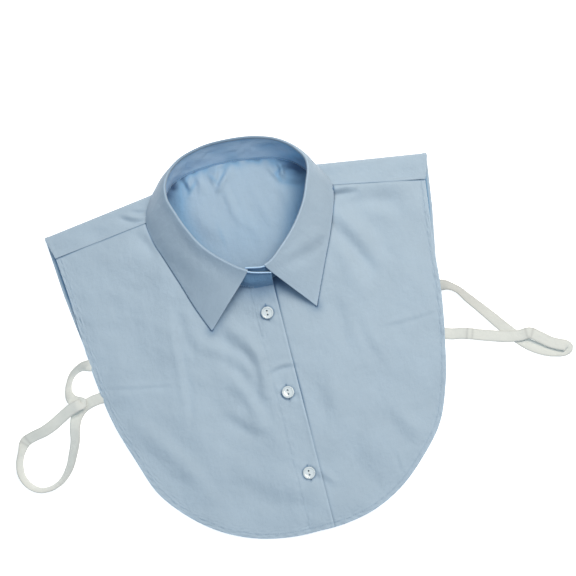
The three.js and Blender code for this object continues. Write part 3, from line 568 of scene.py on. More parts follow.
class Front:
    """One front panel: its lines in the plan and the height of its middle surface."""

    def __init__(self, side):
        self.side = side
        self.neck, self.outer = plan_edges(side)
        dense = np.linspace(0, 1, 260)
        self.outer_line = self.outer(dense)
        self.opening_line = np.stack([line(np.array(0.0)) for line in (self.neck, self.outer)])
        seed = FRONT_SEEDS[side]
        self.soft = ripples(seed, 62)
        self.fine = ripples(seed + 10, 21)
        self.pucker = ripples(seed + 20, 7)

    def plan(self, u, v):
        """Patch between the four edges."""
        u, v = np.asarray(u, float), np.asarray(v, float)
        zero, one = np.zeros_like(u), np.ones_like(u)
        vv, uu = v[..., None], u[..., None]
        neck, outer = self.neck(u), self.outer(u)
        opening = mix(self.neck(zero), self.outer(zero), vv)
        seam = mix(self.neck(one), self.outer(one), vv)
        neck_chord = mix(self.neck(zero), self.neck(one), uu)
        outer_chord = mix(self.outer(zero), self.outer(one), uu)
        return mix(neck, outer, vv) + mix(opening, seam, uu) - mix(neck_chord, outer_chord, vv)

    def base(self, x, y):
        """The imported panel's height, with its main folds."""
        neck_x = x / (NECK_ELLIPSE["half_width"] * NECK_HALF_WIDTH)
        neck_y = (y / NECK_DEPTH - NECK_ELLIPSE["middle"]) / NECK_ELLIPSE["half_depth"]
        outside = np.maximum(np.hypot(neck_x, neck_y) - NECK_ELLIPSE["full"], 0) * NECK_HALF_WIDTH
        hill = NECK_LIFT * bell(outside, NECK_LIFT_REACH)
        ridge = SOLID_CLOTH / 2 + 2 * fold_radius(np.maximum(np.abs(x), NECK_HALF_WIDTH)) - FRONT_REST
        below = np.maximum(seam_line_y(self.side, x) - y, 0)
        shoulder = bell(below, SHOULDER_LIFT_REACH)
        fade = (1 - bell(below, FOLD_FADE)) * (1 - bell(outside, FOLD_FADE))
        lap = FRONT_LAP if self.side == "left" else 0
        overlap = smooth_step(x, LAP_START, LAP_END)
        soft = folds(MAIN_FOLDS, x, y) + folds(FRONT_CREASES, x, y)
        soft = soft + 0.5 * self.soft(x, y) + 0.16 * self.fine(x, y)
        return FRONT_REST + mix(hill, ridge, shoulder) + soft * fade + lap * overlap

    def height(self, x, y):
        """Middle of the sewn cloth: the panel with its hem, placket and seam relief."""
        z = self.base(x, y)
        below_seam = np.maximum(seam_line_y(self.side, x) - y, 0)
        z = z + steps(FRONT_STEPS, x, y) * smooth_step(below_seam, 0, 3)
        edge, along = plan_distance(x, y, self.outer_line)
        z = z - EDGE_DROOP * bell(edge, EDGE_DROOP_REACH)
        z = z - 0.2 * bell(edge - HEM_STITCH, 0.6)
        z = z + 0.24 * self.pucker(along, 3.0 * edge) * bell(edge, 7)
        opening, down = plan_distance(x, y, self.opening_line)
        if self.side == "left":
            beyond = opening - PLACKET_WIDTH
            z = z - 0.06 * bell(beyond, 0.7)
            z = z + 0.9 * bell(opening, 5) * bell(down - 112, 24)
            z = z + 0.10 * self.pucker(down, 2.0 * beyond) * bell(beyond, 5)
            z = z + 0.25 * bell(opening - 0.9, 1.2)
            z = z + self.button_pull(x, y)
        under_leaf, _ = plan_distance(x, y, leaf_line)
        z = z - 0.7 * bell(under_leaf - 0.3, 1.3)
        past = y - (seam_line_y(self.side, x) - 1.2)
        return z - 1.1 * smooth_step(past, 0, 1.4)

    def button_pull(self, x, y):
        """Dimple under each button and short puckers that run out from it."""
        z = 0
        for i in range(BUTTON_COUNT):
            button_x, button_y = button_place(i)
            dx, dy = x - button_x, y - button_y
            away = np.hypot(dx, dy)
            turn = np.arctan2(dy, dx)
            rays = np.sin(5 * turn + 1.7 * i) + 0.6 * np.sin(3 * turn + 0.8)
            z = z - 0.4 * bell(away, 6) + 0.4 * rays * bell(away - 9, 5)
        return z

    def thickness(self, x, y):
        edge, _ = plan_distance(x, y, self.outer_line)
        opening, _ = plan_distance(x, y, self.opening_line)
        wall = sewn_wall(edge, HEM_WIDTH, HEM_CLOTH)
        if self.side == "left":
            wall = np.maximum(wall, sewn_wall(opening, PLACKET_WIDTH, PLACKET_CLOTH))
        return wall

    def top(self, x, y):
        """Points on the upper face, and the upward normals there."""
        normals = upward_normal(self.height, x, y, 0.4)
        half = self.thickness(x, y)[..., None] / 2
        return stack(x, y, self.height(x, y)) + normals * half, normals


fronts = {side: Front(side) for side in SIDES}


# Collar


def fold_point(t):
    """Top of the stand at t, from 0 to 1 round the collar."""
    at = collar(t)
    return at[..., [FOLD_X, FOLD_Y, FOLD_Z]]


def outward(t):
    """Level direction away from the neck at t."""
    nudge = 1e-3
    along = fold_point(np.minimum(t + nudge, 1)) - fold_point(np.maximum(t - nudge, 0))
    return unit(stack(-along[..., 1], along[..., 0], np.zeros_like(along[..., 0])))


def panel_height(t, x, y, seat):
    """Top of what the collar lies on at station t: the back panel or a front."""
    on_front = np.where(t < 0.5, fronts["left"].base(x, y), fronts["right"].base(x, y))
    return mix(SOLID_CLOTH / 2, on_front, smooth_step(seat, 0, 1)) + CLOTH / 2


def seam_point(t):
    """Foot of the stand at t."""
    at = collar(t)
    x, y = at[..., SEAM_X], at[..., SEAM_Y]
    return stack(x, y, panel_height(t, x, y, at[..., SEAT]) + 0.3)


stand_soft = ripples(41, 34)
stand_fine = ripples(42, 12)


def stand_surface(u, v):
    """Band from the neck seam, v = 0, up to the fold, v = 1."""
    t = np.asarray(u, float)
    v = np.asarray(v, float)
    vv = v[..., None]
    length, height = t * collar.length, v * COLLAR_HEIGHT
    ends = np.minimum(smooth_step(t, 0, 0.06), smooth_step(1 - t, 0, 0.06))
    dents = 0.55 * stand_soft(length, height) + 0.2 * stand_fine(length, height)
    bow = 0.9 * np.sin(math.pi * v) + dents * np.sin(math.pi * v) * ends
    bow = bow + 0.14 * np.sin(length * 2 * math.pi / 5.3 + 2 * np.sin(length / 9)) * bell(v, 0.12)
    lip = 1 - smooth_step(np.minimum(t, 1 - t), 0.06, 0.10)
    below = COLLAR_HEIGHT - height
    bow = bow + lip * (0.5 * bell(below - 0.8, 1.1) - 0.6 * bell(below - 3.2, 0.9))
    return mix(seam_point(t), fold_point(t), vv) + outward(t) * bow[..., None]


first_leaf, last_leaf = collar.stops[1], collar.stops[-2]
leaf_soft = ripples(51, 40)


def leaf_edge_point(t):
    """Outer edge of the leaf at t, just above what it hangs down to."""
    at = collar(t)
    x, y, seat = at[..., LEAF_X], at[..., LEAF_Y], at[..., LEAF_SEAT]
    on_front = panel_height(t, x, y, np.ones_like(seat)) + LEAF_CLOTH / 2 + 0.25
    on_table = LEAF_CLOTH / 2 + 0.3
    return stack(x, y, mix(on_table, on_front, smooth_step(seat, 0, 1)))


def leaf_surface(u, v):
    """Leaf from its seam inside the stand, over the fold, v = INSIDE_SHARE, out to its edge, v = 1."""
    t = mix(first_leaf, last_leaf, np.asarray(u, float))
    v = np.asarray(v, float)
    out = outward(t)
    top = fold_point(t) + UP * LEAF_LIFT
    edge = leaf_edge_point(t)
    seat = smooth_step(collar(t)[..., LEAF_SEAT], 0, 1)[..., None]
    on_fronts = mix(edge, top, 0.4) + UP * 2
    on_table = edge + out * 4 + UP * 9
    rolled = top + out * mix(2.0, 3.4, seat) + UP * mix(-1.6, -2.6, seat)
    control = mix(on_table, on_fronts, seat)
    s = np.clip((v - INSIDE_SHARE) / (1 - INSIDE_SHARE), 0, 1)[..., None]
    r = 1 - s
    fall = top * r**3 + rolled * 3 * r**2 * s + control * 3 * r * s**2 + edge * s**3
    path = np.clip(v / INSIDE_SHARE, 0, 1) * (LEAF_INSIDE + LEAF_ROLL * math.pi / 2)
    angle = np.clip((path - LEAF_INSIDE) / LEAF_ROLL, 0, math.pi / 2)[..., None]
    drop = np.maximum(LEAF_INSIDE - path, 0)[..., None]
    inside = top - out * LEAF_ROLL * np.cos(angle) + UP * (LEAF_ROLL * (np.sin(angle) - 1) - drop)
    points = np.where((v < INSIDE_SHARE)[..., None], inside, fall)
    x, y = points[..., 0], points[..., 1]
    free = smooth_step(v, 0.2, 0.5) * smooth_step(1 - v, 0, 0.12)
    relief = folds(LEAF_DENTS, x, y) + steps(LEAF_STEPS, x, y) + 0.3 * leaf_soft(x, y)
    points[..., 2] += free * relief * smooth_step(seat[..., 0], 0.4, 1)
    return points


# Back panel

back_soft = ripples(61, 58)
back_fine = ripples(62, 16)


def gather_rise(x, below):
    """Height that the gathers add at x and at a distance below the back neck seam."""
    total = 0
    for share, turn, length, width, rise in GATHERS:
        across = x - share * NECK_HALF_WIDTH - math.tan(math.radians(turn)) * below
        along = bell(below - 0.4 * length, 0.45 * length)
        total = total + rise * bell(across, width) * along
    return total


def back_upper():
    """Top edge of the flat back: the left shoulder, the back neck seam and the right shoulder."""
    skipped = SHOULDER_STATION + 2
    shoulders = {}
    for side in SIDES:
        x = SIGN[side] * mix(YOKE_NECK_X, TIP_HALF_WIDTH[side], np.array([0, 0.33, 0.66, 1]))
        shoulders[side] = list(zip(x, roll_start_y(side, x)))
    neck = [
        (row[SEAM_X] * NECK_HALF_WIDTH, row[SEAM_Y] * NECK_DEPTH + SEAM_ALLOWANCE)
        for row in COLLAR[skipped:-skipped]
    ]
    return TableCurve(shoulders["left"][::-1] + neck + shoulders["right"], [0, 1])


back_top_edge = back_upper()
back_outer = TableCurve(outline_rows("left", True) + outline_rows("right", True)[::-1], [0, 1])
back_outer_line = np.concatenate(
    [[back_top_edge(0.0)], back_outer(np.linspace(0, 1, 400)), [back_top_edge(1.0)]]
)


def back_height(x, y, below):
    """Middle of the back's cloth above the table, which holds its dips up."""
    edge, _ = plan_distance(x, y, back_outer_line)
    inside = 1 - bell(np.maximum(YOKE_NECK_X - np.abs(x), 0), 6)
    near_seam = 1 - 0.75 * bell(below, 2.2)
    lift = gather_rise(x, below) + folds(BACK_CREASES, x, y) + steps(BACK_STEPS, x, y)
    lift = lift * inside * near_seam
    lift = lift + (0.4 * back_soft(x, y) + 0.1 * back_fine(x, y)) * inside * smooth_step(edge, 0, 25)
    return SOLID_CLOTH / 2 + 0.5 * np.logaddexp(0, 4 * lift) / 2


def back_body(u, v):
    """The flat back from its top edge, v = 0, to its side edges and hem, v = 1."""
    top, bottom = back_top_edge(u), back_outer(u)
    p = mix(top, bottom, (v**1.5)[..., None])
    below = np.linalg.norm(top - p, axis=-1)
    return stack(p[..., 0], p[..., 1], back_height(p[..., 0], p[..., 1], below))


yoke_soft = ripples(71, 30)


def yoke_surface(side, u, v):
    """Rolled shoulder from the back panel's top edge, v = 0, forward to the seam, v = 1."""
    x = SIGN[side] * mix(YOKE_NECK_X, TIP_HALF_WIDTH[side], u)
    seam_x = SIGN[side] * mix(YOKE_NECK_X, FRONT_SHOULDER[side] * BODY_HALF_WIDTH, u)
    radius = fold_radius(x)
    turn_y = roll_start_y(side, x)
    end_y = seam_line_y(side, seam_x) - 0.4
    path = v * (math.pi * radius + turn_y - end_y)
    angle = np.clip(path / radius, 0, math.pi)
    forward = np.maximum(path - math.pi * radius, 0) / (turn_y - end_y)
    start_z = back_height(x, turn_y, np.zeros_like(x) + 50)
    z = mix(start_z, SOLID_CLOTH / 2, smooth_step(v, 0, 0.3))
    z = z + mix(radius, fold_radius(seam_x), forward) * (1 - np.cos(angle))
    settled = smooth_step(forward, 0, 0.5) * (1 - smooth_step(forward, 0.85, 1))
    y = turn_y + radius * np.sin(angle) - forward * (turn_y - end_y)
    z = z + settled * (0.4 * yoke_soft(x, y) + steps(YOKE_STEPS, x, y) - 0.9 * bell(np.abs(x) - 90, 9))
    return stack(mix(x, seam_x, forward), y, z)


# Meshes


def grid_quads(rows, columns, start=0):
    """Quads of a grid of points that are numbered from start."""
    index = start + np.arange(rows * columns).reshape(rows, columns)
    corners = (index[:-1, :-1], index[1:, :-1], index[1:, 1:], index[:-1, 1:])
    return np.stack([c.ravel() for c in corners], axis=1)


def point_normals(points, quads):
    a, b, c, d = (points[quads[:, k]] for k in range(4))
    face = np.cross(c - a, d - b)
    normals = np.zeros_like(points)
    for k in range(4):
        np.add.at(normals, quads[:, k], face)
    return unit(normals + 1e-12)


RIM_ANGLES = np.radians([45, 90, 135])


def thicken(points, quads, wall):
    """Closed cloth about a surface: two layers and a rounded rim. Gives points, faces and origin."""
    count = len(points)
    normals = point_normals(points, quads)
    half = np.broadcast_to(wall, (count,))[:, None] / 2
    starts = quads.ravel()
    ends = np.roll(quads, -1, axis=1).ravel()
    rim_edges = ~np.isin(starts * count + ends, ends * count + starts)
    starts, ends = starts[rim_edges], ends[rim_edges]
    out = np.zeros_like(points)
    side = np.cross(unit(points[ends] - points[starts]), normals[starts])
    np.add.at(out, starts, side)
    np.add.at(out, ends, side)
    rim = np.unique(starts)
    out = unit(out[rim])
    order = np.full(count, -1)
    order[rim] = np.arange(len(rim))
    layers = [points + normals * half, points - normals * half]
    chain_start, chain_end = [starts], [ends]
    for k, angle in enumerate(RIM_ANGLES):
        layers.append(points[rim] + half[rim] * (out * math.sin(angle) + normals[rim] * math.cos(angle)))
        first = 2 * count + k * len(rim)
        chain_start.append(first + order[starts])
        chain_end.append(first + order[ends])
    chain_start.append(count + starts)
    chain_end.append(count + ends)
    faces = [quads, count + quads[:, ::-1]]
    for k in range(len(RIM_ANGLES) + 1):
        ring = (chain_end[k], chain_start[k], chain_start[k + 1], chain_end[k + 1])
        faces.append(np.stack(ring, axis=1))
    origin = np.concatenate([np.arange(count), np.arange(count)] + [rim] * len(RIM_ANGLES))
    return np.concatenate(layers), np.concatenate(faces), origin


def weld(points, quads, cut):
    """Joins points that fall together, such as the shared edge of two grids."""
    _, keep, inverse = np.unique(np.round(points, 3), axis=0, return_index=True, return_inverse=True)
    return points[keep], inverse.ravel()[quads], cut[keep]


def button_seat(i):
    """Middle of a button's underside and the upward normal there."""
    x, y = button_place(i)
    height = fronts["left"].base
    normal = upward_normal(height, x, y, 4.0)
    return stack(x, y, height(x, y)) + normal * (SOLID_CLOTH / 2 + CLEAR - 0.1), normal


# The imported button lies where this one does, so the middle of its box gives the model's origin
button_low, button_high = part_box("button_1")
first_seat, first_normal = button_seat(0)
origin_shift = (np.array(button_low) + np.array(button_high)) / 2 * 1000
origin_shift -= first_seat + first_normal * BUTTON_THICKNESS / 2
origin_shift[2] = 0.0


def to_model(points):
    return (np.asarray(points, float) + origin_shift) * 0.001


def link(name, data):
    made = bpy.data.objects.new(name, data)
    bpy.context.scene.collection.objects.link(made)
    return made


def add_mesh(name, points, faces, material, cut=None, painted_highlight=None, painted_shade=None):
    """Adds a mesh in the model's frame. cut is each point's place on the flat cloth, in mm."""
    mesh = bpy.data.meshes.new(name)
    faces = faces.tolist() if isinstance(faces, np.ndarray) else faces
    mesh.from_pydata(to_model(points).tolist(), [], faces)
    mesh.polygons.foreach_set("use_smooth", [True] * len(mesh.polygons))
    if cut is not None:
        attribute = mesh.attributes.new("cut", "FLOAT_VECTOR", "POINT")
        attribute.data.foreach_set("vector", np.asarray(cut, np.float32).ravel())
    # Painted highlight and painted shade, 0 to 1, kept as point attributes for the cloth materials
    for key, values in (("painted_highlight", painted_highlight), ("painted_shade", painted_shade)):
        if values is not None:
            attribute = mesh.attributes.new(key, "FLOAT", "POINT")
            attribute.data.foreach_set("value", np.clip(values, 0, 1).astype(np.float32).ravel())
    mesh.materials.append(material)
    mesh.update()
    piece = link(name, mesh)
    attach(piece, "root")
    return piece


def add_cloth(name, points, quads, wall, cut, material, painted_highlight=None, painted_shade=None):
    """Adds cloth with the given wall about a middle surface, with its painted highlight and painted shade,
    each 0 to 1 at each point.
    """
    layers, faces, origin = thicken(points, quads, wall)
    painted_highlight, painted_shade = (None if values is None else np.ravel(values)[origin] for values in (painted_highlight, painted_shade))
    return add_mesh(name, layers, faces, material, cut[origin], painted_highlight, painted_shade)


def circles(side, normal, sides):
    """Rings of points of unit radius in the planes of side and normal."""
    turns = np.linspace(0, 2 * math.pi, sides, endpoint=False)[:, None]
    return side[..., None, :] * np.cos(turns) + normal[..., None, :] * np.sin(turns)


def tube_faces(rings, sides, first=0):
    """Faces of a tube with closed ends, whose rings start at the point first."""
    faces = [tuple(first + k for k in reversed(range(sides)))]
    for start in range(first, first + (rings - 1) * sides, sides):
        for k in range(sides):
            a, b = start + k, start + (k + 1) % sides
            faces.append((a, b, b + sides, a + sides))
    faces.append(tuple(first + (rings - 1) * sides + k for k in range(sides)))
    return faces


def stitch_rows(path, normals, pitch=STITCH_PITCH, length=STITCH_LENGTH, radius=THREAD_RADIUS):
    """Arched stitches along a path on the cloth, as a mesh of points and faces."""
    steps = np.linalg.norm(np.diff(path, axis=0), axis=1)
    travelled = np.concatenate([[0], np.cumsum(steps)])
    starts = np.arange(0.3 * pitch, travelled[-1] - length, pitch)
    rings, sides = 5, 6
    share = np.linspace(0, 1, rings)
    at = starts[:, None] + share * length

    def along(values):
        return np.stack([np.interp(at, travelled, values[:, k]) for k in range(3)], axis=-1)

    centre, normal = along(path), unit(along(normals))
    tangent = unit(np.gradient(centre, axis=1))
    side = np.cross(tangent, normal)
    arch = np.sin(math.pi * share)
    centre = centre + normal * (0.9 * radius * arch - 0.8 * radius * (1 - arch))[None, :, None]
    size = radius * (0.45 + 0.55 * np.sqrt(arch))
    points = centre[:, :, None] + circles(side, normal, sides) * size[None, :, None, None]
    faces = []
    for stitch in range(len(starts)):
        faces += tube_faces(rings, sides, stitch * rings * sides)
    return points.reshape(-1, 3), faces


def join(parts):
    """Points and faces of several meshes as one."""
    points, faces, first = [], [], 0
    for part_points, part_faces in parts:
        points.append(part_points)
        faces += [tuple(first + i for i in face) for face in part_faces]
        first += len(part_points)
    return np.concatenate(points), faces


def surface_path(surface, u, v, wall, side=1):
    """Points and normals on one face of a surface, side 1 or -1, along u and v."""
    nudge = 1e-3
    along_u = surface(np.clip(u + nudge, 0, 1), v) - surface(np.clip(u - nudge, 0, 1), v)
    along_v = surface(u, np.clip(v + nudge, 0, 1)) - surface(u, np.clip(v - nudge, 0, 1))
    normals = unit(np.cross(along_u, along_v)) * side
    return surface(u, v) + normals * wall / 2, normals


def offset_line(line, distance, side):
    """Plan polyline moved sideways, to the left of its direction for side 1."""
    along = unit(np.gradient(line, axis=0))
    return line + side * distance * np.stack([-along[:, 1], along[:, 0]], axis=1)


# Materials


def node(tree, kind, **settings):
    made = tree.nodes.new(kind)
    for key, value in settings.items():
        setattr(made, key, value)
    return made


def math_node(tree, operation, *values):
    """Output of a math node on numbers and on other nodes' outputs."""
    made = node(tree, "ShaderNodeMath", operation=operation)
    for socket, value in zip(made.inputs, values):
        if isinstance(value, (int, float)):
            socket.default_value = value
        else:
            tree.links.new(value, socket)
    return made.outputs[0]


def new_material(name, **settings):
    """A new material, its node tree and its shader, with the given sockets set."""
    material = bpy.data.materials.new(name)
    material.use_nodes = True
    shader = material.node_tree.nodes["Principled BSDF"]
    for key, value in settings.items():
        shader.inputs[key.replace("_", " ")].default_value = value
    return material, material.node_tree, shader


# How much the tone changes with the weave, with soft clouds and with the painted highlight along folds and
# edges
WEAVE_TONE = 0.04
CLOUD_TONE = 0.14
HIGHLIGHT_TONE = 0.22
CRUMPLE_RELIEF = 0.0016  # height in metres of the soft crumples


def woven_material(name, colours, pitch, slub, relief, roughness, sheen):
    """Plain weave in the cloth's own millimetres, paler along a painted highlight and darker and bluer
    with painted shade.
    """
    material, tree, shader = new_material(
        name, Roughness=roughness, Sheen_Weight=sheen, Sheen_Roughness=0.5, Specular_IOR_Level=0.3
    )
    cut = node(tree, "ShaderNodeAttribute", attribute_name="cut")
    parts = node(tree, "ShaderNodeSeparateXYZ")
    tree.links.new(cut.outputs["Vector"], parts.inputs[0])
    waves = []
    for axis, spacing in zip("XY", pitch):
        turned = math_node(tree, "MULTIPLY", parts.outputs[axis], 2 * math.pi / spacing)
        waves.append(math_node(tree, "SINE", turned))
    weave = math_node(tree, "MULTIPLY", *waves)

    def stretched_noise(scale, detail):
        mapping = node(tree, "ShaderNodeMapping")
        mapping.inputs["Scale"].default_value = scale
        tree.links.new(cut.outputs["Vector"], mapping.inputs["Vector"])
        noise = node(tree, "ShaderNodeTexNoise")
        noise.inputs["Scale"].default_value = 1.0
        noise.inputs["Detail"].default_value = detail
        tree.links.new(mapping.outputs[0], noise.inputs["Vector"])
        return noise.outputs["Fac"]

    weft_slub = stretched_noise((0.05, 1.4, 1), 2)
    warp_slub = stretched_noise((1.6, 0.04, 1), 2)
    clouds = stretched_noise((0.03, 0.03, 0.03), 3)
    threads = math_node(tree, "ADD", weft_slub, warp_slub)
    # Painted highlight: the cloth is drawn paler along its folds and edges
    painted_highlight = node(tree, "ShaderNodeAttribute", attribute_name="painted_highlight")
    tone = math_node(tree, "MULTIPLY_ADD", threads, slub, 1 - slub)
    for source, gain, base in (
        (clouds, CLOUD_TONE, 1 - CLOUD_TONE / 2),
        (weave, WEAVE_TONE, 1.0),
        (painted_highlight.outputs["Fac"], HIGHLIGHT_TONE, 1.0),
    ):
        tone = math_node(tree, "MULTIPLY", tone, math_node(tree, "MULTIPLY_ADD", source, gain, base))
    # Painted shade: a ramp from the cloth's own colour to darker, bluer shade colours
    painted_shade = node(tree, "ShaderNodeAttribute", attribute_name="painted_shade")
    depth = node(tree, "ShaderNodeValToRGB")
    depth.color_ramp.elements.new(0.5)
    for element, colour in zip(depth.color_ramp.elements, colours):
        element.color = (*colour, 1)
    tree.links.new(painted_shade.outputs["Fac"], depth.inputs["Fac"])
    tint = node(tree, "ShaderNodeVectorMath", operation="SCALE")
    tree.links.new(depth.outputs["Color"], tint.inputs[0])
    tree.links.new(tone, tint.inputs["Scale"])
    tree.links.new(tint.outputs[0], shader.inputs["Base Color"])

    height = math_node(tree, "MULTIPLY_ADD", weave, 0.5, threads)
    crumpling = stretched_noise((0.16, 0.13, 1), 4)
    normal = None
    for source, strength, distance in ((height, 0.6, relief), (crumpling, 0.5, CRUMPLE_RELIEF)):
        bump = node(tree, "ShaderNodeBump")
        bump.inputs["Strength"].default_value = strength
        bump.inputs["Distance"].default_value = distance
        tree.links.new(source, bump.inputs["Height"])
        if normal is not None:
            tree.links.new(normal, bump.inputs["Normal"])
        normal = bump.outputs[0]
    tree.links.new(normal, shader.inputs["Normal"])
    return material


def pearl_material(name, colour):
    """Glossy resin with faint darker swirls."""
    material, tree, shader = new_material(name, Roughness=0.22, Coat_Weight=0.4)
    place = node(tree, "ShaderNodeTexCoord")
    noise = node(tree, "ShaderNodeTexNoise")
    noise.inputs["Scale"].default_value = 260.0
    noise.inputs["Detail"].default_value = 4.0
    noise.inputs["Distortion"].default_value = 1.2
    tree.links.new(place.outputs["Object"], noise.inputs["Vector"])
    ramp = node(tree, "ShaderNodeValToRGB")
    ramp.color_ramp.elements[0].color = (*[0.86 * c for c in colour], 1)
    ramp.color_ramp.elements[1].color = (*colour, 1)
    tree.links.new(noise.outputs["Fac"], ramp.inputs["Fac"])
    tree.links.new(ramp.outputs["Color"], shader.inputs["Base Color"])
    return material


# Colours of each cloth, from its own colour to painted shade in creases, corners, seams and under the
# collar
COTTON = [(0.395, 0.515, 0.63), (0.225, 0.335, 0.465), (0.075, 0.15, 0.275)]
# The back's cotton: the same cloth with a bluer painted shade, for light bounced inside the neck
BACK_COTTON = [(0.395, 0.515, 0.63), (0.225, 0.41, 0.615), (0.075, 0.15, 0.275)]
# Cotton of the stand, the same cloth painted brighter and bluer for the light bounced inside the collar
STAND_COTTON_PAINTED_BOUNCE = [(0.45, 0.635, 0.84), (0.225, 0.46, 0.72), (0.075, 0.157, 0.3)]
THREAD = [(0.42, 0.55, 0.67), (0.26, 0.38, 0.51), (0.1, 0.2, 0.35)]
ELASTIC = [(0.72, 0.765, 0.745), (0.51, 0.54, 0.53), (0.3, 0.32, 0.32)]
WHITE_THREAD = [(0.82, 0.84, 0.84), (0.56, 0.58, 0.58), (0.3, 0.32, 0.32)]

# Pitch of warp and weft in mm, slub, relief in metres, roughness and sheen of each kind of cloth
SHIRTING = ((0.42, 0.36), 0.06, 0.00006, 0.82, 0.25)
SPUN = ((0.3, 0.3), 0.02, 0.00003, 0.6, 0.3)
TAPE = ((1.15, 0.8), 0.03, 0.0002, 0.8, 0.3)
cotton = woven_material("cotton", COTTON, *SHIRTING)
back_cotton = woven_material("back_cotton", BACK_COTTON, *SHIRTING)
# The stand's cotton with painted bounce light
stand_cotton_painted_bounce = woven_material("stand_cotton_painted_bounce", STAND_COTTON_PAINTED_BOUNCE, *SHIRTING)
sewing_thread = woven_material("sewing_thread", THREAD, *SPUN)
elastic_weave = woven_material("elastic_weave", ELASTIC, *TAPE)
white_thread = woven_material("white_thread", WHITE_THREAD, *SPUN)
pearl = pearl_material("pearl", (0.69, 0.80, 0.86))

# Camera at the photograph's angle, looking down at the cloth and turned about the upright
ROLL = math.radians(14)
ELEVATION = math.radians(80)
CAMERA_DISTANCE = 1600.0
LENS = 108.7
LOOK_AT = np.array([24.3, -21.0, 10.0])
camera_data = bpy.data.cameras.new("camera")
camera_data.lens = LENS
camera_data.sensor_width = 36
camera_data.clip_end = 20
camera = link("camera", camera_data)
bpy.context.scene.camera = camera
picture_right = np.array([math.cos(ROLL), -math.sin(ROLL), 0])
picture_up = np.array([math.sin(ROLL), math.cos(ROLL), 0])
towards_camera = -math.cos(ELEVATION) * picture_up + math.sin(ELEVATION) * UP
axes = np.stack([picture_right, np.cross(towards_camera, picture_right), towards_camera], axis=1)
camera.matrix_world = Matrix.LocRotScale(
    Vector(to_model(LOOK_AT + CAMERA_DISTANCE * towards_camera)),
    Matrix(axes.tolist()).to_quaternion(),
    None,
)

# White floor, just below the cloth, that glows enough to render pure white
FLOOR_HALF = 4.0
FLOOR_BELOW = 0.0004
floor_mesh = bpy.data.meshes.new("floor")
floor_corners = [(x * FLOOR_HALF, y * FLOOR_HALF, 0) for x, y in ((-1, -1), (1, -1), (1, 1), (-1, 1))]
floor_mesh.from_pydata(floor_corners, [], [(0, 1, 2, 3)])
floor = link("floor", floor_mesh)
floor.location.z = -FLOOR_BELOW
floor_material, _, _ = new_material(
    "floor_white",
    Base_Color=(0.9, 0.9, 0.9, 1),
    Roughness=0.9,
    Emission_Color=(1, 1, 1, 1),
    Emission_Strength=0.6,
)
floor_mesh.materials.append(floor_material)

# Sky that is brighter overhead than at the horizon
SKY_LOW = np.array([0.05, 0.06, 0.075])
SKY_RISE = np.array([0.82, 0.92, 1.0])
world = bpy.data.worlds.new("studio")
world.use_nodes = True
sky = world.node_tree
direction = node(sky, "ShaderNodeTexCoord")
direction_parts = node(sky, "ShaderNodeSeparateXYZ")
sky.links.new(direction.outputs["Generated"], direction_parts.inputs[0])
sky_ramp = node(sky, "ShaderNodeValToRGB")
for height in (0.35, 0.7):
    sky_ramp.color_ramp.elements.new(height)
for element in sky_ramp.color_ramp.elements:
    element.color = (*(SKY_LOW + SKY_RISE * element.position**2), 1)
sky.links.new(direction_parts.outputs["Z"], sky_ramp.inputs["Fac"])
sky.links.new(sky_ramp.outputs["Color"], sky.nodes["Background"].inputs["Color"])
bpy.context.scene.world = world

# Soft key light from the back and the right
KEY_DISTANCE = 1.5
KEY_SIZE = 0.75
KEY_POWER = 15.8
KEY_COLOUR = (1.0, 0.84, 0.68)
KEY_ELEVATION = math.radians(59)
KEY_PLAN = Vector((0.76, 0.65, 0))
key_data = bpy.data.lights.new("key", "AREA")
key_data.shape = "SQUARE"
key_data.size = KEY_SIZE
key_data.energy = KEY_POWER
key_data.color = KEY_COLOUR
key = link("key", key_data)
key_from = KEY_PLAN * math.cos(KEY_ELEVATION) + Vector((0, 0, math.sin(KEY_ELEVATION)))
key.location = key_from * KEY_DISTANCE
key.rotation_euler = key_from.to_track_quat("Z", "Y").to_euler()

bpy.context.scene.view_settings.view_transform = "Standard"
bpy.context.scene.view_settings.look = "None"


# Painted shade, 0 to 1: where shade falls in creases, beside and under the collar, at seams and round
# buttons

leaf_fall = np.linspace(INSIDE_SHARE, 1, 60)
leaf_fronts = {
    side: leaf_surface(np.full(60, end), leaf_fall)[:, :2] for side, end in (("left", 0.0), ("right", 1.0))
}
fold_ring = collar(np.linspace(0, 1, 300))[:, [FOLD_X, FOLD_Y]]


def paint_front_shade(front, x, y):
    """Painted shade beside the leaf and in the collar's shadow between its ends, at the hem stitches and
    seams, round the buttons and under the placket's edge.
    """
    edge, along = plan_distance(x, y, front.outer_line)
    under_leaf, _ = plan_distance(x, y, leaf_line)
    under_front, _ = plan_distance(x, y, leaf_fronts[front.side])
    stitches = 0.6 + 0.4 * np.sin(2 * math.pi * along / STITCH_PITCH)
    painted_shade = 0.9 * bell(under_leaf - 0.4, 0.9) + 0.5 * bell(under_front, 5.5)
    painted_shade = painted_shade + 0.3 * stitches * bell(edge - HEM_STITCH, 0.5)
    painted_shade = painted_shade + 0.9 * bell(y - seam_line_y(front.side, x) + 0.6, 0.75)
    painted_shade = painted_shade + 0.8 * bell(x - 3, 24) * bell(y + 11, 15.5)
    if front.side == "left":
        for i in range(BUTTON_COUNT):
            button_x, button_y = button_place(i)
            dx, dy = x - button_x, y - button_y
            painted_shade = painted_shade + 0.5 * bell(np.hypot(dx, dy) - 6, 0.9)
            painted_shade = painted_shade + 0.9 * bell(dx, 0.8) * bell(np.abs(dy) - 7, 1.1)
    else:
        past_lap, _ = plan_distance(x, y, fronts["left"].opening_line)
        down = 0.25 + 0.5 * bell(y + 20, 28) + 0.5 * bell(y + 112, 30)
        painted_shade = painted_shade + down * bell(past_lap - 1.0, 1.1)
    return painted_shade


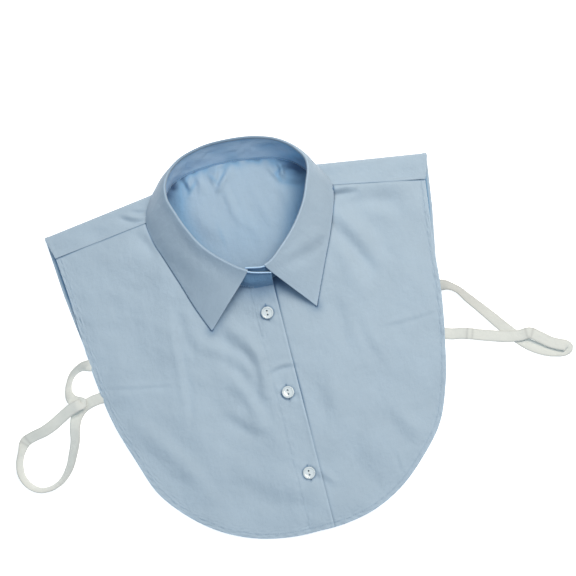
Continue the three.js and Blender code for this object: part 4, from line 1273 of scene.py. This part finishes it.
def paint_back_shade(x, y, z, top_line):
    """Painted shade round the inside of the neck, stronger where the collar's shadow falls, under the
    collar, beside the gathers, and in the gaps at the armholes.
    """
    ring, _ = plan_distance(x, y, fold_ring)
    below, _ = plan_distance(x, y, top_line)
    edge, _ = plan_distance(x, y, back_outer_line)
    right = smooth_step(x, 5, 50) * smooth_step(y, -10, 60)
    left = smooth_step(-x, 10, 50) * smooth_step(y, 10, 70)
    reach = 7.0 + 10.0 * right + 6.0 * left
    clouds = 1 + 0.4 * back_fine(1.3 * x, 1.3 * y)
    painted_shade = 0.18 - 0.07 * smooth_step(y, 30, 75)
    painted_shade = painted_shade + (0.10 + 0.30 * right + 0.33 * left) * bell(ring, reach)
    painted_shade = painted_shade + 0.38 * clouds * bell(below, 6.5) + folds(BACK_SHADES, x, y)
    painted_shade = painted_shade + 0.3 * bell(x + 56, 11) * bell(y - 88, 15) + 0.3 * bell(x - 57, 14) * bell(y - 84, 9)
    inside = (np.abs(x) < YOKE_NECK_X) & (y > -30)
    armhole = 0.9 * bell(edge - 3.6, 1.6) * smooth_step(y, -5, 22)
    armhole = armhole * (1 - smooth_step(z, 1.6, 3))
    return np.where(inside, painted_shade, armhole)


# Columns and rows of the meshes, closer together at the placket, hem, neck seam and fold
FRONT_COLUMNS = np.concatenate([np.linspace(0, 0.16, 76), np.linspace(0.16, 1, 196)[1:]])
FRONT_ROWS = np.concatenate([np.linspace(0, 0.95, 142), np.linspace(0.95, 1, 17)[1:]])
BACK_COLUMNS = np.linspace(0, 1, 300)
BACK_ROWS = np.linspace(0, 1, 86)
YOKE_ROWS = np.linspace(0, 1, 44)
STAND_COLUMNS = np.linspace(0, 1, 440)
STAND_ROWS = 1 - np.linspace(1, 0, 62) ** 1.2
LEAF_COLUMNS = np.linspace(0, 1, 430)
LEAF_FALL_ROWS = mix(INSIDE_SHARE, 1, np.linspace(0, 1, 50) ** 1.15)
LEAF_ROWS = np.concatenate([np.linspace(0, INSIDE_SHARE, 11), LEAF_FALL_ROWS[1:]])
STRAP_COLUMNS = np.linspace(0, 1, 330)
STRAP_ROWS = np.linspace(-1, 1, 11)


def grid(columns, rows):
    return np.meshgrid(columns, rows, indexing="ij")


# Front panels
for side in SIDES:
    front = fronts[side]
    u, v = grid(FRONT_COLUMNS, FRONT_ROWS)
    plan = front.plan(u, v)
    x, y = plan[..., 0], plan[..., 1]
    points = stack(x, y, front.height(x, y)).reshape(-1, 3)
    quads = grid_quads(*u.shape)
    if side == "left":
        quads = quads[:, ::-1]
    cut = stack(x, y, 0).reshape(-1, 3)
    opening, _ = plan_distance(x, y, front.opening_line)
    edge, _ = plan_distance(x, y, front.outer_line)
    # Painted highlight along the opening and side edges, and painted shade below
    painted_highlight = 0.5 * bell(opening, 0.9) + 0.3 * bell(edge, 1.0)
    wall = front.thickness(x, y).ravel()
    painted_shade = paint_front_shade(front, x, y)
    piece = add_cloth(f"front_{side}", points, quads, wall, cut, cotton, painted_highlight, painted_shade)
    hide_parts(f"front_panel_{side}")

# Back panel with its rolled shoulders, one cloth
u, v = grid(BACK_COLUMNS, BACK_ROWS)
grids = [back_body(u, v)]
cuts = [grids[0] * [1, 1, 0]]
quad_sets = [grid_quads(*u.shape)]
start = u.size
top_edge = grids[0][:, 0]
for side in SIDES:
    on_side = np.abs(top_edge[:, 0]) >= YOKE_NECK_X - 1e-6
    columns = top_edge[on_side & (np.sign(top_edge[:, 0]) == SIGN[side])]
    share = (np.abs(columns[:, 0]) - YOKE_NECK_X) / (TIP_HALF_WIDTH[side] - YOKE_NECK_X)
    u, v = grid(share, YOKE_ROWS)
    shoulder = yoke_surface(side, u, v)
    shoulder[:, 0] = columns
    grids.append(shoulder)
    cuts.append(stack(shoulder[..., 0], columns[:, 1][:, None] + v * YOKE_CUT, 0))
    quad_sets.append(grid_quads(*u.shape, start)[:, ::-1])
    start += u.size
back_points, back_cut = (np.concatenate([g.reshape(-1, 3) for g in each]) for each in (grids, cuts))
back_points, back_quads, back_cut = weld(back_points, np.concatenate(quad_sets), back_cut)
back_edge, _ = plan_distance(back_points[:, 0], back_points[:, 1], back_outer_line)
back_wall = sewn_wall(back_edge, HEM_WIDTH, HEM_CLOTH)
back_neck_line = back_top_edge(np.linspace(0, 1, 400))
# Painted shade of the back
back_painted_shade = paint_back_shade(*back_points.T, back_neck_line)
back_piece = add_cloth("back", back_points, back_quads, back_wall, back_cut, back_cotton, None, back_painted_shade)
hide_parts("back_panel")


def stand_shade(u, v):
    """Painted highlight at the fold, and painted shade at the neck seam, in the corners, at the ends and
    along the stitch rows.
    """
    painted_highlight = smooth_step(v, 0.93, 1)
    above_seam, below_fold = v * COLLAR_HEIGHT, (1 - v) * COLLAR_HEIGHT
    near_end = 1 - smooth_step(np.minimum(u, 1 - u), 0.06, 0.10)
    corner = smooth_step(np.abs(u - 0.5), 0.10, 0.20)
    painted_shade = 0.04 + mix(0.44, 0.55, smooth_step(u, 0.4, 0.6)) * corner + 0.25 * bell(v, 0.1)
    painted_shade = painted_shade + 0.08 * stand_soft(u * 500, v * 60) + 0.22 * bell(u - 0.71, 0.07)
    painted_shade = painted_shade + 0.3 * bell(below_fold - 3.8, 0.55) + 0.45 * bell(above_seam - 2.6, 0.6)
    painted_shade = mix(painted_shade, 0.8 + 0.2 * bell(below_fold - 3.4, 2.2), near_end)
    return painted_highlight, painted_shade * (1 - painted_highlight)


def leaf_shade(u, v):
    """Painted highlight along the fold and the edges, and painted shade beside the fold."""
    past_fold = v - INSIDE_SHARE
    ends = np.minimum(u, 1 - u) * collar.length
    on_back = bell(u - 0.5, 0.16)
    on_left = 1 - smooth_step(u, 0.4, 0.6)
    painted_highlight = (0.9 - 0.8 * on_back) * bell(past_fold, 0.025)
    painted_highlight = painted_highlight + 0.45 * bell(1 - v, 0.03) + 0.45 * bell(ends, 1.4)
    painted_shade = 0.08 + mix(0.03, 0.2, on_left) * bell(past_fold - 0.12, 0.17)
    return painted_highlight, painted_shade + 0.35 * on_back * bell(past_fold, 0.06)


# Stand
u, v = grid(STAND_COLUMNS, STAND_ROWS)
points = stand_surface(u, v).reshape(-1, 3)
cut = stack(u * collar.length, v * COLLAR_HEIGHT, 0).reshape(-1, 3)
wall = mix(CLOTH, STAND_CLOTH, smooth_step(v, 0, 0.3)).ravel()
stand_piece = add_cloth("stand", points, grid_quads(*u.shape), wall, cut, stand_cotton_painted_bounce, *stand_shade(u, v))
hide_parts("collar_stand")

# Leaf
u, v = grid(LEAF_COLUMNS, LEAF_ROWS)
points = leaf_surface(u, v).reshape(-1, 3)
cut = stack(u * collar.length, v * LEAF_CUT, 0).reshape(-1, 3)
leaf_piece = add_cloth("leaf", points, grid_quads(*u.shape), LEAF_CLOTH, cut, cotton, *leaf_shade(u, v))
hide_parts("collar_leaf")

# Straps


def side_edge_x(side, y):
    """x of a front's side edge at y."""
    curve = TableCurve(outline_rows(side), [0, 1])(np.linspace(0, 1, 400))
    return np.interp(y, curve[::-1, 1], curve[::-1, 0])


def strap_rows(side):
    """Middle line of a strap, from under its front's edge to under the back's, with its lean."""
    ends = {end: -STRAP_ENDS[side][end] * BODY_LENGTH for end in ("front", "back")}
    places = {end: np.array([side_edge_x(side, y), y]) for end, y in ends.items()}
    middle = (places["front"] + places["back"]) / 2
    between = SOLID_CLOTH + CLEAR + STRAP_WALL / 2

    def sewn(end):
        x, y = places[end]
        return [(x - SIGN[side] * STRAP_TUCK, y, between, 0), (x, y, between, 0)]

    loop = []
    for out, down, lift, lean in STRAP_ROUTES[side]:
        turn = math.radians(lean)
        z = lift + (STRAP_WIDTH * math.sin(turn) + STRAP_WALL * math.cos(turn)) / 2 + STRAP_CLEAR
        loop.append((middle[0] + SIGN[side] * out * STRAP_REACH, middle[1] - down * STRAP_REACH, z, lean))
    return sewn("front") + loop + sewn("back")[::-1]


def strap_surface(route, t, w):
    """Point at t along the route and w across it, from -1 to 1."""
    nudge = 0.004
    middle = route(t)
    along = unit(route(np.minimum(t + nudge, 1))[..., :3] - route(np.maximum(t - nudge, 0))[..., :3])
    level = unit(np.cross(along, UP))
    lean = np.radians(middle[..., 3])[..., None]
    across = level * np.cos(lean) + np.cross(along, level) * np.sin(lean)
    crown = np.cross(across, along) * (-STRAP_CROWN * w**2)[..., None]
    return middle[..., :3] + across * (w * STRAP_WIDTH / 2)[..., None] + crown


for side in SIDES:
    route = TableCurve(strap_rows(side), [0, 1, 2])
    t, w = grid(STRAP_COLUMNS, STRAP_ROWS)
    points = strap_surface(route, t, w).reshape(-1, 3)
    cut = stack(w * STRAP_WIDTH / 2, t * route.length, 0).reshape(-1, 3)
    # Painted shade along the strap's edges, across its kinks and towards its back end
    kinks = sum(bell((t - place) * route.length, 1.1) for place in STRAP_KINKS[side])
    painted_shade = 0.03 + 0.24 * bell(np.abs(w) - 1, 0.14) + 0.28 * kinks
    painted_shade = painted_shade + STRAP_END_SHADE[side] * smooth_step(t, 0.62, 0.97)
    quads = grid_quads(*t.shape)
    piece = add_cloth(f"strap_{side}", points, quads, STRAP_WALL, cut, elastic_weave, None, painted_shade)
    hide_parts(f"elastic_{side}")

# Buttons, with their thread and buttonholes


def lathe(profile, sides):
    """Closed turned body from radius and height, first and last row on the axis."""
    turns = np.linspace(0, 2 * math.pi, sides, endpoint=False)
    points = [(0, 0, profile[0][1])]
    for radius, z in profile[1:-1]:
        points += [(radius * math.cos(a), radius * math.sin(a), z) for a in turns]
    points.append((0, 0, profile[-1][1]))
    faces = [(0, 1 + (k + 1) % sides, 1 + k) for k in range(sides)]
    for r in range(len(profile) - 3):
        for k in range(sides):
            a, b = 1 + r * sides + k, 1 + r * sides + (k + 1) % sides
            faces.append((a, b, b + sides, a + sides))
    last = len(points) - 1
    top = last - sides
    faces += [(top + k, top + (k + 1) % sides, last) for k in range(sides)]
    return points, faces


button_profile = [
    (0, 0),
    (BUTTON_RADIUS - 1.3, 0),
    (BUTTON_RADIUS - 0.7, 0.12),
    (BUTTON_RADIUS - 0.15, 0.7),
    (BUTTON_RADIUS, 1.2),
    (BUTTON_RADIUS - 0.08, 1.75),
    (BUTTON_RADIUS - 0.35, 2.2),
    (BUTTON_RADIUS - 0.75, BUTTON_THICKNESS),
    (BUTTON_RADIUS - 1.15, 2.3),
    (BUTTON_RADIUS - 1.5, 1.95),
    (BUTTON_RADIUS - 1.95, BUTTON_THICKNESS - BUTTON_RECESS),
    (1.4, BUTTON_THICKNESS - BUTTON_RECESS - 0.12),
    (0, BUTTON_THICKNESS - BUTTON_RECESS - 0.15),
]


def button_mesh(name):
    """Turned disc with two holes drilled along the placket."""
    points, faces = lathe(button_profile, 64)
    mesh = bpy.data.meshes.new(name)
    mesh.from_pydata([tuple(0.001 * c for c in p) for p in points], [], faces)
    blank = link(name, mesh)
    drills = []
    for end in (-1, 1):
        bpy.ops.mesh.primitive_cylinder_add(
            vertices=24,
            radius=0.001 * HOLE_RADIUS,
            depth=0.01,
            location=(0, end * 0.001 * HOLE_SPACING / 2, 0),
        )
        drill = bpy.context.object
        drills.append(drill)
        cut = blank.modifiers.new("drill", "BOOLEAN")
        cut.operation = "DIFFERENCE"
        cut.object = drill
    graph = bpy.context.evaluated_depsgraph_get()
    drilled = bpy.data.meshes.new_from_object(blank.evaluated_get(graph))
    for gone in [blank, *drills]:
        bpy.data.objects.remove(gone)
    drilled.polygons.foreach_set("use_smooth", [True] * len(drilled.polygons))
    drilled.set_sharp_from_angle(angle=math.radians(50))
    drilled.materials.clear()
    drilled.materials.append(pearl)
    return drilled


def arc_thread(start, end, rise, radius, count=9, sides=8):
    """Thread from start to end over a low arch."""
    share = np.linspace(0, 1, count)
    centre = mix(np.array(start, float), np.array(end, float), share[:, None])
    centre[:, 2] += rise * np.sin(math.pi * share)
    tangent = unit(np.gradient(centre, axis=0))
    side = unit(np.cross(tangent, UP))
    normal = np.cross(side, tangent)
    points = centre[:, None] + radius * circles(side, normal, sides)
    return points.reshape(-1, 3), tube_faces(count, sides)


def button_frame(i):
    """Rotation of a button and the middle of its underside."""
    seat, normal = button_seat(i)
    return Vector(UP).rotation_difference(Vector(normal)).to_matrix(), seat


def add_button(i):
    turn, seat = button_frame(i)
    mesh = button_mesh(f"shirt_button_{i + 1}")
    mesh.transform(Matrix.Translation(Vector(to_model(seat))) @ turn.to_4x4())
    piece = link(f"shirt_button_{i + 1}", mesh)
    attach(piece, "root")
    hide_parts(f"button_{i + 1}")


def add_button_thread(i):
    """Two bars of thread between a button's holes."""
    turn, seat = button_frame(i)
    half = HOLE_SPACING / 2 - 0.45
    low = BUTTON_THICKNESS - BUTTON_RECESS - 1.05
    bars = []
    for offset in (-0.24, 0.24):
        bars.append(arc_thread((offset, -half, low), (offset * 0.6, half, low), 1.2, 0.2))
    points, faces = join(bars)
    placed = points @ np.array(turn).T + seat
    piece = add_mesh(f"button_thread_{i + 1}", placed, faces, white_thread, points)


def add_buttonhole(i):
    """Stitches round a buttonhole, which is mostly hidden under its button."""
    x, y = button_place(i)
    half_long, half_wide = BUTTONHOLE_LENGTH / 2, BUTTONHOLE_WIDTH / 2
    stitches = []
    for angle in np.linspace(0, 2 * math.pi, BUTTONHOLE_STITCHES, endpoint=False):
        out_x, out_y = math.cos(angle), math.sin(angle)
        middle_y = y - 1.2 + (half_long - half_wide) * np.clip(1.6 * out_y, -1, 1)
        ends_x = x + np.array([0.25, half_wide]) * out_x
        ends_y = middle_y + np.array([0.2, 0.5 * half_wide]) * out_y
        ends, _ = fronts["left"].top(ends_x, ends_y)
        stitches.append(arc_thread(*(ends - UP * 0.1), 0.32, 0.14, 5, 6))
    points, faces = join(stitches)
    piece = add_mesh(f"buttonhole_{i + 1}", points, faces, sewing_thread, points)


for i in range(BUTTON_COUNT):
    add_button(i)
    add_button_thread(i)
    add_buttonhole(i)


# Stitching

PLACKET_STITCH = PLACKET_WIDTH - 1.2
STAND_STITCHES = ((0.07, 1), (0.07, -1), (0.895, -1))  # height share and face of each row
TACK_INSETS = (1.0, 2.0, 3.0)
TACK_HALF = 4.6


def add_stitching(name, rows):
    points, faces = join(rows)
    piece = add_mesh(name, points, faces, sewing_thread, points)
    return piece


def front_stitching(side):
    """Rows along the hem, along the placket and across the end of the strap."""
    front = fronts[side]
    hem = offset_line(front.outer_line, HEM_STITCH, SIGN[side])
    rows = [stitch_rows(*front.top(*hem.T))]
    if side == "left":
        placket = mix(*front.opening_line, np.linspace(0.08, 0.985, 200)[:, None])
        rows.append(stitch_rows(*front.top(placket[:, 0] - PLACKET_STITCH, placket[:, 1])))
    tack_y = np.linspace(-TACK_HALF, TACK_HALF, 12) - STRAP_ENDS[side]["front"] * BODY_LENGTH
    for inset in TACK_INSETS:
        tack_x = side_edge_x(side, tack_y) - SIGN[side] * inset
        rows.append(stitch_rows(*front.top(tack_x, tack_y), pitch=1.0, length=0.95))
    return add_stitching(f"stitching_front_{side}", rows)


stitch_pieces = {side: front_stitching(side) for side in SIDES}
around = np.linspace(0.04, 0.96, 500)
stand_rows = []
for height, face in STAND_STITCHES:
    line = surface_path(stand_surface, around, np.full(500, height), STAND_CLOTH, face)
    stand_rows.append(stitch_rows(*line))
stand_stitching = add_stitching("stitching_stand", stand_rows)
